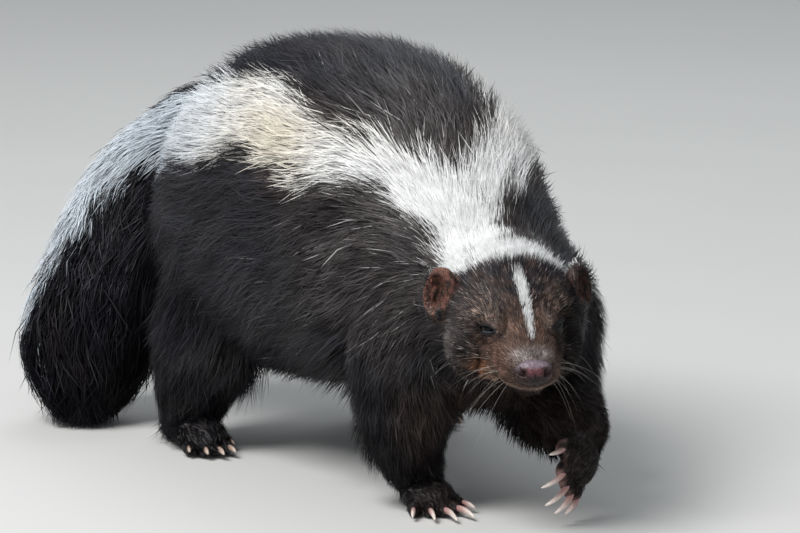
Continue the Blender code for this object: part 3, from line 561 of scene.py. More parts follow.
def to_frame(place, places):
    """Places in the given frame's own coordinates."""
    turn = np.array(place.inverted())
    return places @ turn[:3, :3].T + turn[:3, 3]


def line_of(rows, steps=5):
    """The centres, mean radii and ways along of a curved row of sections."""
    fine = np.array(catmull(rows, steps))
    centres = fine[:, :3]
    along = unit(np.gradient(centres, axis=0))
    return centres, (fine[:, 3] + fine[:, 4]) / 2, along


def paw_rows(paw):
    length, wide, thick = PAWS[paw][:3]
    place = PAW_FRAMES[paw]
    return [(*(place @ Vector((x, 0, z))), wide * k, thick * k, 0.0) for x, z, k in (
        (-0.006, -0.004, 0.9), (length * 0.5, -PALM_DROP, 1.0), (length * 1.2, -TOE_DROP, 0.8))]


LINES = {"torso": line_of(TORSO_ROWS), "neck": line_of(NECK), "tail": line_of(TAIL),
         "head": line_of([(*(HEAD @ Vector(r[:3])), *r[3:]) for r in SKULL])}
LINES.update({name: line_of(rows[1:]) for name, rows in LEGS.items()})
LINES.update({paw: line_of(paw_rows(paw)) for paw in PAWS})
NAMES = list(LINES)


def shares_of(places):
    """How much each place belongs to each part, and the way along each part's line there."""
    near, ways = [], []
    for centres, radii, along in LINES.values():
        gaps = np.linalg.norm(places[:, None, :] - centres[None], axis=2) / radii[None]
        best = gaps.argmin(1)
        near.append(gaps[np.arange(len(places)), best])
        ways.append(along[best])
    weights = np.maximum(np.array(near).T, 0.3) ** -8
    return weights / weights.sum(1, keepdims=True), np.array(ways).transpose(1, 0, 2)


def part_share(shares, *names):
    return sum(shares[:, NAMES.index(name)] for name in names)


def ear_share(places, side):
    """How much each place belongs to the ear on that side."""
    own = seen_from(ear_place(side), places)
    return smooth_step(-np.linalg.norm(own / np.array(EAR_SIZE), axis=1), -1.28, -1.10)


def lie(places, outs):
    """The way the hair lies at each place of the skin."""
    shares, ways = shares_of(places)
    flow = np.zeros_like(places)
    steep = np.abs(outs[:, 1]) + np.maximum(0, -outs[:, 0])
    back = np.stack([-np.ones(len(places)), np.zeros(len(places)), -FLANK_DROP * steep], 1)
    in_head = to_frame(HEAD, places)
    turn = np.array(HEAD_TURN)
    low = smooth_step(-in_head[:, 2], 0.004, 0.016)
    face = np.stack([-np.ones(len(places)), 0.25 * np.sign(in_head[:, 1]), -0.15 - 0.35 * low], 1) @ turn.T
    for k, name in enumerate(NAMES):
        if name in ("torso", "neck"):
            way = back
        elif name == "head":
            way = face
        else:
            way = ways[:, k]
        flow += shares[:, k:k + 1] * way
    for side in (-1, 1):
        away = places - np.array(eye_place(side)[0])
        gap = np.linalg.norm(away, axis=1)
        flow = flow + unit(away) * (1.6 * np.exp(-(gap / 0.0095) ** 2))[:, None]
        on_ear = ear_share(places, side)[:, None]
        flow = flow * (1 - on_ear) + np.array(ear_place(side)[1] @ Vector((-0.3, 0, 1))) * on_ear
    bend = 0.16 * noise(places, 0.034, 3) + 0.13 * noise(places, 0.012, 4) + 0.13 * noise(places, 0.0055, 5)
    flow = unit(flow - outs * (flow * outs).sum(1, keepdims=True))
    return flow * np.cos(bend)[:, None] + np.cross(outs, flow) * np.sin(bend)[:, None]


# ---- Markings ----

# White stripes on the coat's outline: x, y, z, half width
RIGHT_STRIPE = [
    (0.120, -0.026, 0.156, 0.021), (0.103, -0.022, 0.170, 0.022), (0.084, -0.036, 0.181, 0.020),
    (0.064, -0.053, 0.192, 0.017), (0.042, -0.068, 0.196, 0.018), (0.013, -0.076, 0.201, 0.022),
    (-0.036, -0.078, 0.211, 0.025), (-0.083, -0.080, 0.203, 0.028), (-0.128, -0.074, 0.192, 0.029),
    (-0.172, -0.056, 0.180, 0.027), (-0.202, -0.050, 0.174, 0.025), (-0.223, -0.066, 0.157, 0.023),
    (-0.237, -0.085, 0.130, 0.021), (-0.239, -0.104, 0.103, 0.016), (-0.238, -0.117, 0.078, 0.008),
]
LEFT_STRIPE = [
    (0.103, -0.020, 0.172, 0.016), (0.087, 0.006, 0.187, 0.013), (0.066, 0.038, 0.198, 0.018),
    (0.034, 0.058, 0.206, 0.024), (-0.036, 0.068, 0.213, 0.027), (-0.083, 0.068, 0.205, 0.027),
    (-0.128, 0.058, 0.193, 0.026), (-0.175, 0.034, 0.182, 0.022), (-0.215, -0.004, 0.178, 0.018),
    (-0.246, -0.018, 0.160, 0.016), (-0.262, -0.037, 0.128, 0.013), (-0.265, -0.052, 0.096, 0.006),
]
# In the head's frame
CAP = [
    (-0.093, -0.037, 0.023, 0.0065), (-0.088, -0.026, 0.031, 0.011), (-0.083, -0.004, 0.037, 0.013),
    (-0.082, 0.014, 0.035, 0.011), (-0.080, 0.027, 0.030, 0.008), (-0.088, 0.035, 0.022, 0.006),
]
BLAZE = [
    (-0.061, 0.0013, 0.035, 0.0024), (-0.053, 0.0016, 0.032, 0.0032), (-0.043, 0.0019, 0.027, 0.0032),
    (-0.033, 0.0022, 0.021, 0.0028), (-0.024, 0.0022, 0.0160, 0.0020), (-0.018, 0.0022, 0.013, 0.0009),
]

BLACK, BROWN_BLACK = np.array(((0.0086, 0.0086, 0.0128), (0.030, 0.0195, 0.015)))
SHOULDER, GREY = np.array(((0.046, 0.040, 0.040), (0.085, 0.077, 0.075)))
# The second of these is the blue of open shade, painted onto the white of the rump and tail
WHITE, SHADE_BLUE, CREAM = np.array(((0.86, 0.87, 0.88), (0.57, 0.645, 0.725), (0.78, 0.72, 0.60)))
FOREHEAD, UMBER = np.array(((0.0110, 0.0098, 0.0128), (0.0215, 0.0125, 0.0105)))
MUZZLE, RUST = np.array(((0.074, 0.044, 0.033), (0.115, 0.045, 0.017)))
TAN, PALE, WHISKER = np.array(((0.30, 0.215, 0.165), (0.36, 0.33, 0.325), (0.42, 0.39, 0.36)))
EAR_RED, TOE_SKIN = np.array(((0.185, 0.073, 0.056), (0.165, 0.098, 0.092)))
LID_BLACK, PLUM = np.array(((0.005, 0.004, 0.004), (0.022, 0.0080, 0.0085)))
# The second of these is the nose's mauve together with a painted highlight
ROSE, MAUVE_AND_HIGHLIGHT = np.array(((0.19, 0.070, 0.083), (0.235, 0.180, 0.215)))
# The third of these is a painted reflection on the lower part of the eyeball
IRIS, PUPIL, EYE_REFLECTION = np.array(((0.010, 0.006, 0.004), (0.0015, 0.0015, 0.0015), (0.20, 0.22, 0.26)))
# At the claws' roots and tips
CLAW_COLOURS = {"fore": np.array(((0.44, 0.25, 0.23), (0.74, 0.66, 0.60))),
                "hind": np.array(((0.30, 0.20, 0.16), (0.60, 0.50, 0.42)))}
# Soft places of the head's frame: their middles and half sizes
# The right cheek's grey is partly its grizzled hair and partly painted light: only the lit side gets it
LIT_GREY_CHEEK = (-0.062, -0.036, -0.006), (0.020, 0.014, 0.017)
BROW = (-0.049, 0.020, 0.017), (0.014, 0.011, 0.010)
# Painted shade round the left eye, which lies on the shaded side of the face
EYE_SOCKET_SHADE = (-0.0345, 0.0185, 0.0088), (0.0090, 0.0062, 0.0042)
# Soft patches on the face, painted in turn: colour, strength, middle, half sizes, whether on both sides
FACE_PATCHES = [
    (TAN * 1.3, 0.75, (-0.037, 0.0125, 0.0158), (0.0040, 0.0034, 0.0026), True),
    (UMBER * 0.26, 1.8, (-0.041, 0.0285, -0.0048), (0.0100, 0.0080, 0.0072), True),
    (RUST, 0.9, (-0.029, -0.0230, -0.0105), (0.0065, 0.0062, 0.0048), False),
    (PALE, 0.78, (-0.0095, 0.003, 0.0062), (0.0052, 0.0080, 0.0040), True),
]
LIFTED_SOLE, FLAT_SOLE = 0.0072, 0.0135  # how far below the paw's middle its bare skin starts
RIM_HALF, RIM_HIGH, RIM_SHIFT = 0.0082, 0.0033, 0.0010  # the dark rims of the lids round the slit


def inside_line(places, rows):
    """How far each place lies inside a stripe's edge, in metres; negative outside."""
    fine = np.array(catmull(rows, 6))
    gaps = np.linalg.norm(places[:, None, :] - fine[None, :, :3], axis=2) - fine[None, :, 3]
    return -gaps.min(1)


def mixed(one, two, share):
    share = np.asarray(share)
    if np.ndim(one) > 1 or np.ndim(two) > 1 or np.shape(two) == (3,):
        share = share[..., None]
    return one * (1 - share) + two * share


def inside_stripes(places):
    return np.maximum(inside_line(places, RIGHT_STRIPE), inside_line(places, LEFT_STRIPE))


def slit_gap(places):
    """How far each place is from the nearest slit between lids: 1 round the almond of its bare rims."""
    gaps = []
    for side in (-1, 1):
        ahead, along, rise = seen_from(eye_place(side), places).T
        along = (along + RIM_SHIFT) / RIM_HALF
        almond = np.abs(rise) / (RIM_HIGH * np.maximum(1 - along * along, 0.02))
        gaps.append(np.where(ahead > -0.002, np.maximum(almond, np.abs(along)), 9))
    return np.min(gaps, axis=0)


def pad_gap(places):
    """How far each place is from the middle of the bare nose: 1 on its surface."""
    return np.linalg.norm((to_frame(HEAD, places) - np.array(NOSE_PLACE)) / np.array(NOSE_PAD), axis=1)


def bare_toes(places):
    """How bare the paws are: the undersides of the toes, most on the lifted paw."""
    bare = np.zeros(len(places))
    for paw, place in PAW_FRAMES.items():
        x, y, z = to_frame(place, places).T
        sole = LIFTED_SOLE if paw == LIFTED else FLAT_SOLE
        near = within((x, 0.008, 0.016), (-x, -0.060, -0.050), (-np.abs(y), -0.030, -0.022))
        under = within((-z, sole - 0.0015, sole + 0.0015), (z, -0.030, -0.025))
        bare = np.maximum(bare, near * under)
    return bare


def spot(places, middle, radii, both=True):
    """A soft patch round a place of the head's frame, on both sides or one."""
    x, y, z = places.T
    own = np.stack([x, np.abs(y) if both else y, z], 1)
    return np.exp(-(((own - middle) / radii) ** 2).sum(1))


def face_colour(in_head, places, luck, shade):
    """Near black over the crown, umber beside the blaze, brown on the muzzle, with flecks over the eyes."""
    x, y, z = in_head.T
    blur = 0.22 * noise(places, 0.006, 21) + 0.12 * noise(places, 0.0026, 24)
    brown = 0.95 * smooth_step(x, -0.055, -0.028) + blur * (0.3 + 0.7 * smooth_step(x, -0.070, -0.045))
    face = mixed(FOREHEAD, UMBER, np.clip(brown, 0, 1))
    muzzle = smooth_step(x, -0.042, -0.022) * (0.75 + 0.25 * smooth_step(z, -0.012, 0.010))
    face = mixed(face, MUZZLE, np.clip(muzzle + blur, 0, 1))
    # Painted light: the muzzle's right side, which faces the light, is made lighter
    lit = within((-y, 0.004, 0.016), (x, -0.050, -0.030))
    face = face * (1 + 0.18 * lit)[:, None]
    # Grey on the right cheek only: partly the hair's own grey, partly painted light
    face = mixed(face, GREY * 0.95, np.clip(1.1 * spot(in_head, *LIT_GREY_CHEEK, False), 0, 1))
    brow = spot(in_head, *BROW)
    flecks = smooth_step(noise(places, 0.0019, 22), 0.30, 0.75)
    face = mixed(face, TAN, np.clip(0.85 * brow * flecks + 0.08 * brow, 0, 1))
    for colour, strength, middle, radii, both in FACE_PATCHES:
        face = mixed(face, colour, np.clip(strength * spot(in_head, middle, radii, both), 0, 1))
    lip = within((x, -0.036, -0.010), (-z, 0.008, 0.011), (z, -0.0150, -0.0125))
    face = mixed(face, TAN, 0.40 * lip)
    face = mixed(face, UMBER * 0.6, within((-z, 0.0120, 0.0150), (x, -0.060, -0.045)))
    # Painted shade: near black round the left eye only
    face = mixed(face, LID_BLACK, spot(in_head, *EYE_SOCKET_SHADE) * smooth_step(y, -0.002, 0.002))
    # Painted shade: the face's left side below the eye is darkened and given fewer pale hairs
    shaded_side = within((y, 0.009, 0.019), (-z, -0.026, -0.012), (-x, 0.008, 0.020))
    face = face * (1 - 0.74 * shaded_side)[:, None]
    pale = (luck < 0.045 + 0.22 * brow) & (x < -0.018)
    pale_face = mixed(face, mixed(PALE * 0.75, TAN, brow), 0.45 * (1 - 0.6 * shaded_side))
    face = np.where(pale[:, None], pale_face, face)
    face = face * np.exp(0.66 * shade + 0.25 * noise(places, 0.0024, 25))[:, None]
    return mixed(face, LID_BLACK, smooth_step(-slit_gap(places), -1.55, -1.10))


def ear_colour(places, side, luck):
    """Dark behind, red-brown inside, with painted shade in its hollow and pale flecks; the left ear is
    darkened all over as painted shade.
    """
    ahead, along, rise = seen_from(ear_place(side), places).T
    inner = smooth_step(ahead, -0.0026, 0.0006) * np.clip(0.75 + 0.9 * noise(places, 0.0026, 33), 0.1, 1)
    ear = mixed(BROWN_BLACK * 0.8, EAR_RED, inner)
    # Painted shade in the ear's hollow
    hollow = np.exp(-((along / 0.0045) ** 2 + ((rise + 0.0025) / 0.0065) ** 2))
    ear = mixed(ear, BROWN_BLACK * 0.5, 0.62 * hollow)
    ear = mixed(ear, TAN, 0.6 * smooth_step(-rise, 0.006, 0.012) * (luck < 0.4))
    # The left ear is 0.40 as bright: painted shade
    return np.where((luck < 0.16)[:, None], mixed(ear, TAN, 0.5), ear) * (1 if side < 0 else 0.40)


def coat_colour(places, draw):
    """The coat's colour and shine at each place of the outline, and how white it is there."""
    count = len(places)
    in_head = to_frame(HEAD, places)
    body, cap, blaze = inside_stripes(places), inside_line(in_head, CAP), inside_line(in_head, BLAZE)
    shares, _ = shares_of(places)
    head = within((in_head[:, 0], -0.100, -0.080), (part_share(shares, "head"), 0.2, 0.5),
                  (in_head[:, 2], -0.040, -0.030))
    luck = draw.random(count)
    shade = np.clip(draw.normal(0, 1, count), -2, 2)
    ragged = 0.0035 * noise(places, 0.010, 8) + 0.0034 * shade
    white = smooth_step(np.maximum(body, cap) + ragged, -0.0012, 0.0012)
    white *= 1 - head * smooth_step(in_head[:, 0], -0.074, -0.068)
    white = np.maximum(white, smooth_step(blaze + 0.0006 * shade, -0.0004, 0.0004))
    tail, torso = part_share(shares, "tail"), part_share(shares, "torso")
    x, y, z = places.T
    shoulder = within((x, 0.0, 0.07), (z, 0.070, 0.110), (-y, -0.03, 0.02)) * (1 - tail)
    strays = 0.0015 + 0.018 * shoulder + 0.012 * (tail > 0.5) * (body > -0.03)
    stray = (luck < strays) & ((torso > 0.4) | (tail > 0.5) | (shoulder > 0.3)) & (head < 0.3)
    white = np.where(stray, np.maximum(white, 0.45), white)

    near = within((body, -0.020, 0.0), (x, -0.06, 0.02))
    brown = np.clip(0.75 * near + 0.25 * shoulder + 0.15 * noise(places, 0.03, 12), 0, 1)
    dark = mixed(BLACK, BROWN_BLACK, brown)
    dark = mixed(dark, SHOULDER, np.clip(0.75 * shoulder + 0.12 * noise(places, 0.02, 13), 0, 1))
    throat = within((x, 0.095, 0.12), (-z, -0.085, -0.065))
    dark = mixed(dark, BROWN_BLACK * 1.4, 0.7 * throat)
    # Painted shade: the dark coat is darker towards the floor and darkest on the low tail, where less light
    # falls
    high = smooth_step(z, 0.0, 0.12) * (1 - 0.9 * tail * smooth_step(-z, -0.15, -0.05))
    clump = noise(places, 0.0075, 14)
    dark = dark * ((0.38 + 0.62 * high) * np.exp(0.6 * shade + 0.30 * clump))[:, None]
    middle = np.exp(-((x + 0.005) / 0.065) ** 2)
    cream = np.clip((0.34 + 0.35 * noise(places, 0.04, 31) + 0.12 * shade) * middle + 0.03, 0, 1)
    pale = mixed(WHITE, CREAM, cream)
    # Painted shade: the white of the rump and tail takes the blue tint of open shade
    pale = mixed(pale, SHADE_BLUE, 0.85 * smooth_step(-x, 0.04, 0.155))
    dimmed = 0.14 * smooth_step(cap, -0.002, 0.002) + 0.20 * smooth_step(blaze, -0.001, 0.001)
    pale = pale * ((1 - 0.09 * np.abs(shade)) * (1 - dimmed))[:, None]
    grey = (luck < 0.12) & (part_share(shares, *PAWS) > 0.3)
    dark = np.where(grey[:, None], mixed(dark, GREY * 1.6, 0.7), dark)
    colour = mixed(mixed(dark, face_colour(in_head, places, luck, shade), head), pale, white)
    for side in (-1, 1):
        ear = ear_colour(places, side, luck) * np.exp(0.5 * shade)[:, None]
        colour = mixed(colour, ear, ear_share(places, side))
    shine = mixed((0.15 + 0.33 * high) * (1 - 0.55 * tail), 0.22, head)
    shine = mixed(shine * np.exp(0.6 * np.roll(shade, 1) + 0.4 * clump), 0.45, white)
    return np.concatenate([np.clip(colour, 0.0015, 0.95), np.clip(shine, 0.02, 0.95)[:, None]], 1), white


# ---- The coat ----

def nearest(tree, places):
    found = [tree.find_nearest(place) for place in places.tolist()]
    return np.array([f[0] for f in found]), np.array([f[1] for f in found]), np.array([f[3] for f in found])


def walk(tree, roots, outs, lengths, steps):
    """Paths over the skin along the coat's lie: their stations and outward ways."""
    places, ups = [roots], [outs]
    here, out = roots, outs
    for before, after in zip(steps, steps[1:]):
        stride = ((after - before) * lengths)[:, None]
        ahead = here + lie(here, out) * stride
        near, normal, _ = nearest(tree, ahead)
        held = (np.linalg.norm(near - here, axis=1) > 0.6 * stride[:, 0])[:, None]
        here, out = np.where(held, near, ahead), unit(np.where(held, out * 0.5 + normal, out))
        places.append(here)
        ups.append(out)
    return places, ups


class Skin:
    """The skin's surface as arrays, its search tree and an unwrap of its shape."""

    def __init__(self, obj, outline):
        self.co, self.tris = coordinates(obj), triangles_of(obj)
        self.normals = pulled(obj.data.vertex_normals, "vector").astype(float)
        self.tree = surface_of(obj)
        corners = self.co[self.tris]
        self.middles = corners.mean(1)
        a, b, c = corners.transpose(1, 0, 2)
        self.areas = np.linalg.norm(np.cross(b - a, c - a), axis=1) / 2
        self.outline = surface_of(outline)
        self.unwrap(obj)

    def unwrap(self, obj):
        plain = bpy.data.objects.new("unwrap", obj.data.copy())
        work.objects.link(plain)
        reduce = plain.modifiers.new("Decimate", "DECIMATE")
        reduce.ratio = UNWRAP_FACES / len(self.tris)
        reduce.use_collapse_triangulate = True
        apply_modifiers(plain)
        bpy.context.view_layer.objects.active = plain
        plain.select_set(True)
        bpy.ops.object.mode_set(mode="EDIT")
        bpy.ops.mesh.select_all(action="SELECT")
        bpy.ops.uv.smart_project(angle_limit=math.radians(66), island_margin=0.004)
        bpy.ops.object.mode_set(mode="OBJECT")
        self.plain_corners = coordinates(plain)[triangles_of(plain)]
        loops = pulled(plain.data.loop_triangles, "loops", 3, np.int32)
        self.plain_uv = pulled(plain.data.uv_layers.active.data, "uv", 2)[loops]
        self.plain_tree = BVHTree.FromPolygons(
            self.plain_corners.reshape(-1, 3).tolist(),
            np.arange(len(self.plain_corners) * 3).reshape(-1, 3).tolist(), all_triangles=True)
        bpy.data.objects.remove(plain)

    def uv_at(self, places):
        """Where each place lies on the unwrap."""
        found = [self.plain_tree.find_nearest(place) for place in places.tolist()]
        faces = np.array([f[2] for f in found])
        spots = np.array([f[0] for f in found])
        a, b, c = self.plain_corners[faces].transpose(1, 0, 2)
        normal = np.cross(b - a, c - a)
        area = np.maximum((normal ** 2).sum(1), 1e-24)
        wb = (np.cross(spots - a, c - a) * normal).sum(1) / area
        wc = (np.cross(b - a, spots - a) * normal).sum(1) / area
        weights = np.clip(np.stack([1 - wb - wc, wb, wc], 1), 0, 1)
        return (self.plain_uv[faces] * weights[:, :, None]).sum(1)

    def spread(self, wanted, count, draw):
        """Roots spread evenly over the triangles, weighted by wanted: places and outward ways."""
        totals = np.cumsum(self.areas * wanted)
        marks = (np.arange(count) + draw.random(count)) / count * totals[-1]
        picks = self.tris[np.minimum(np.searchsorted(totals, marks), len(totals) - 1)]
        one, two = draw.random((2, count, 1))
        fold = one + two > 1
        one, two = np.where(fold, 1 - one, one), np.where(fold, 1 - two, two)
        weights = (1 - one - two, one, two)
        places = sum(w * self.co[picks[:, k]] for k, w in enumerate(weights))
        outs = unit(sum(w * self.normals[picks[:, k]] for k, w in enumerate(weights)))
        return places, outs


def reach_of(places):
    """How long the coat is at each place for its depth: short round the eyes and ears, long on the lips."""
    reach = np.ones(len(places))
    for side in (-1, 1):
        eye, ear = np.array(eye_place(side)[0]), np.array(ear_place(side)[0])
        reach *= 0.28 + 0.72 * smooth_step(np.linalg.norm(places - eye, axis=1), 0.0065, 0.014)
        reach *= 0.45 + 0.55 * smooth_step(np.linalg.norm(places - ear, axis=1), 0.013, 0.042)
    x, _, z = to_frame(HEAD, places).T
    lip = within((x, -0.034, -0.016), (-z, 0.009, 0.014))
    nape = smooth_step(x, -0.170, -0.115)
    sharp = 0.35 * np.exp(-((inside_stripes(places) - 0.006) / 0.011) ** 2)
    ankle = smooth_step(-places[:, 2], -0.060, -0.030)
    reach = reach * (1 + 0.6 * ankle * (places[:, 0] > -0.19)) * (1 + 0.5 * lip) * (1 - 0.35 * nape)
    return reach * (1 - 0.40 * nape * smooth_step(z, 0.0, 0.02)) * (1 - sharp)


def own_frames(places, outs):
    """At each place, the way out, the way the hair lies and the way across both."""
    flows = lie(places, outs)
    return np.stack([outs, flows, np.cross(outs, flows)], 1)


def coat_paths(skin, wanted, count, per_guide, reach, steps, heights, draw, pull, deep):
    """Stations of count tufts that follow guides over the skin and gather towards them."""
    guides, guide_outs = skin.spread(wanted, max(count // per_guide, 12), draw)
    depths = np.minimum(nearest(skin.outline, guides)[2], deep)
    lengths = (reach[0] + reach[1] * depths) * reach_of(guides)
    lengths = lengths * draw.uniform(1 - UNEVEN, 1 + UNEVEN, len(guides))
    places, ups = walk(skin.tree, guides, guide_outs, lengths, steps)
    lifted = []
    for p, u, h in zip(places, ups, heights):
        room = np.minimum(nearest(skin.outline, p)[2], depths)
        lifted.append(p + u * ((OWN_DEPTH * depths + (1 - OWN_DEPTH) * room) * h)[:, None])
    guide_frames = own_frames(guides, guide_outs)
    steps_own = [np.einsum("nij,nj->ni", guide_frames, p - guides) for p in lifted]

    roots, outs = skin.spread(wanted, count, draw)
    frames = own_frames(roots, outs)
    tree = KDTree(len(guides))
    for i, guide in enumerate(guides.tolist()):
        tree.insert(guide, i)
    tree.balance()
    found = [tree.find_n(root, GUIDES) for root in roots.tolist()]
    picks = np.array([[f[1] for f in near] for near in found])
    gaps = np.array([[f[2] for f in near] for near in found])
    weights = 1 / (gaps + 0.0005)
    weights /= weights.sum(1, keepdims=True)
    stretch = draw.uniform(1 - 1.5 * RAGGED, 1 + RAGGED, (len(roots), 1)).repeat(3, 1)
    stretch[:, 0] *= draw.uniform(0.80, 1.25, len(roots))
    drift = draw.normal(0, DRIFT, len(roots))
    stations = []
    for k, share in enumerate(steps):
        own = (steps_own[k][picks] * weights[:, :, None]).sum(1) * stretch
        own[:, 2] += drift * own[:, 1] * share
        spot = roots + np.einsum("nij,ni->nj", frames, own)
        spot += (lifted[k][picks[:, 0]] - spot) * pull * share * draw.uniform(0.6, 1.0, (len(roots), 1))
        stations.append(spot)
    return roots, outs, np.array(stations), np.einsum("nj,nj->n", depths[picks], weights)


def tuft_mesh(name, stations, outs, wides, taper, colours, tip_colours, uvs, material, flat=0.4, soft=0.5):
    """Closed three-sided tapered tufts through their stations, as one mesh.

    taper is the share of the width at each ring, and soft how far the shading turns to the skin's own.
    """
    count, rings = stations.shape[1], stations.shape[0] - 1
    low, high = np.array(CAD_LOW + ORIGIN) - BOX_SPARE, np.array(CAD_HIGH + ORIGIN) + BOX_SPARE
    low[2] = 2 * TUFT_LOWEST
    stations = np.clip(stations, low, high)
    verts, normals = [], []
    for k in range(rings):
        along = unit(stations[k + 1] - stations[k])
        side = unit(np.cross(along, outs))
        up = np.cross(side, along)
        wide = (wides * taper[k] / 2)[:, None]
        for turn in (90, 210, 330):
            angle = math.radians(turn)
            verts.append(stations[k] + side * wide * math.cos(angle) + up * wide * flat * math.sin(angle))
            normals.append(unit(side * math.cos(angle) + up * math.sin(angle)) * (1 - soft) + outs * soft)
    verts.append(stations[-1])
    normals.append(unit(stations[-1] - stations[-2]) * (1 - soft) * 0.5 + outs * (soft + 0.3))
    normals = unit(np.array(normals).transpose(1, 0, 2).reshape(-1, 3))
    size = 3 * rings + 1  # vertices of one tuft
    verts = np.array(verts).transpose(1, 0, 2).reshape(-1, 3)
    verts[:, 2] = np.maximum(verts[:, 2], TUFT_LOWEST)
    faces = [(0, 1, 2)]
    for k in range(rings - 1):
        for j in range(3):
            a, b = 3 * k + j, 3 * k + (j + 1) % 3
            faces += [(a, b + 3, b), (a, a + 3, b + 3)]
    last = 3 * (rings - 1)
    faces += [(last + (j + 1) % 3, last + j, size - 1) for j in range(3)]
    faces = np.array(faces)
    tris = (faces[None] + np.arange(count)[:, None, None] * size).reshape(-1, 3)
    along = np.repeat(np.arange(rings) / rings, 3).tolist() + [1.0]
    across = [0.0, -0.5, 0.5] * rings + [0.0]
    patch = np.stack([across, np.array(along) - 0.5], 1) * TUFT_PATCH
    share = np.array(along)[None, :, None]
    shades = colours[:, None] * (1 - share) + tip_colours[:, None] * share
    spots = (uvs[:, None] + patch[None]).reshape(-1, 2)
    return mesh_object(name, verts, tris, shades.reshape(-1, shades.shape[-1]), spots, material, normals)


def mesh_object(name, verts, tris, colours, uvs, material, normals):
    mesh = bpy.data.meshes.new(name)
    mesh.vertices.add(len(verts))
    move_vertices(mesh, verts - np.array(ORIGIN))
    mesh.loops.add(len(tris) * 3)
    mesh.loops.foreach_set("vertex_index", tris.astype(np.int32).ravel())
    mesh.polygons.add(len(tris))
    mesh.polygons.foreach_set("loop_start", np.arange(0, 3 * len(tris), 3, dtype=np.int32))
    mesh.update(calc_edges=True)
    mesh.shade_smooth()
    paint(mesh, colours)
    layer = mesh.uv_layers.new(name="OFBake")
    layer.data.foreach_set("uv", uvs[tris.ravel()].astype(np.float32).ravel())
    mesh.normals_split_custom_set_from_vertices(normals.astype(np.float32))
    mesh.materials.append(material)
    obj = bpy.data.objects.new(name, mesh)
    bpy.context.scene.collection.objects.link(obj)
    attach(obj, "root")
    return obj


def paint(mesh, colours):
    """Keeps a colour at each vertex, with half its shine as the alpha, as the materials read it."""
    layer = mesh.color_attributes.new("Coat", "FLOAT_COLOR", "POINT")
    if colours.shape[1] == 3:
        colours = np.concatenate([colours, np.full((len(colours), 1), 0.5)], 1)
    layer.data.foreach_set("color", colours.astype(np.float32).ravel())


def grow_coat(skin, name, wanted, count, per_guide, reach, wide, steps, heights, taper, seed, pull, deep,
              material, slot):
    """A region's coat, in pieces of at most PIECE_FACES triangles.

    reach is a tuft's length on bare skin and its further length for each metre of the coat's depth.
    """
    draw = np.random.default_rng(seed)
    roots, outs, stations, depths = coat_paths(
        skin, wanted, count, per_guide, reach, steps, heights, draw, pull, deep)
    flows = unit(stations[-1] - stations[0])
    length = np.linalg.norm(stations[-1] - stations[0], axis=1)
    seen = roots + outs * depths[:, None] * 0.9 + flows * (length * 0.45)[:, None]
    colours, white = coat_colour(seen, draw)
    at_root, at_tip = (colours * (np.where(white > 0.5, *shares)[:, None] * (1, 1, 1, 0) + (0, 0, 0, 1))
                       for shares in ((0.84, 0.50), (1.06, 1.35)))
    at_tip = np.clip(at_tip, 0, 0.95)
    uvs = skin.uv_at(roots)
    wides = wide * draw.uniform(0.75, 1.25, count) * np.clip(length / np.median(length), 0.6, 1.2)
    faces = 6 * (len(steps) - 1) - 2
    total = math.ceil(count / (PIECE_FACES // faces))
    for i in range(total):
        pick = slice(i, None, total)
        piece = tuft_mesh(f"{name}_{i + 1}", stations[:, pick], outs[pick], wides[pick], taper,
                          at_root[pick], at_tip[pick], uvs[pick], material)


# ---- Materials ----

def set_inputs(node, **values):
    for socket, value in values.items():
        node.inputs[socket.replace("_", " ")].default_value = value
    return node


def principled(name, **values):
    made = bpy.data.materials.new(name)
    made.use_nodes = True
    shader = set_inputs(made.node_tree.nodes["Principled BSDF"], **values)
    return made, made.node_tree.nodes, made.node_tree.links, shader


def math_node(nodes, kind, operation):
    node = nodes.new(kind)
    node.operation = operation
    return node


def textured(name, scale, spread, depth=0.0, hair=False, **values):
    """A material that reads the painted colour and mottles it; hair reads its shine from the alpha."""
    made, nodes, links, shader = principled(name, **values)
    colour = nodes.new("ShaderNodeAttribute")
    colour.attribute_name = "Coat"
    place = nodes.new("ShaderNodeTexCoord")
    grain = set_inputs(nodes.new("ShaderNodeTexNoise"), Scale=scale, Detail=6.0)
    links.new(place.outputs["Object"], grain.inputs["Vector"])
    level = set_inputs(nodes.new("ShaderNodeMapRange"), From_Min=0.3, From_Max=0.7, To_Min=1 - spread,
                       To_Max=1 + spread)
    links.new(grain.outputs["Fac"], level.inputs["Value"])
    tint = math_node(nodes, "ShaderNodeVectorMath", "SCALE")
    links.new(colour.outputs["Color"], tint.inputs[0])
    links.new(level.outputs["Result"], tint.inputs["Scale"])
    links.new(tint.outputs["Vector"], shader.inputs["Base Color"])
    if hair:
        shine = math_node(nodes, "ShaderNodeMath", "MULTIPLY")
        shine.inputs[1].default_value = 2 * values["Specular_IOR_Level"]
        links.new(colour.outputs["Alpha"], shine.inputs[0])
        links.new(shine.outputs["Value"], shader.inputs["Specular IOR Level"])
    if depth:
        bump = set_inputs(nodes.new("ShaderNodeBump"), Strength=0.6, Distance=depth)
        links.new(grain.outputs["Fac"], bump.inputs["Height"])
        links.new(bump.outputs["Normal"], shader.inputs["Normal"])
    return made


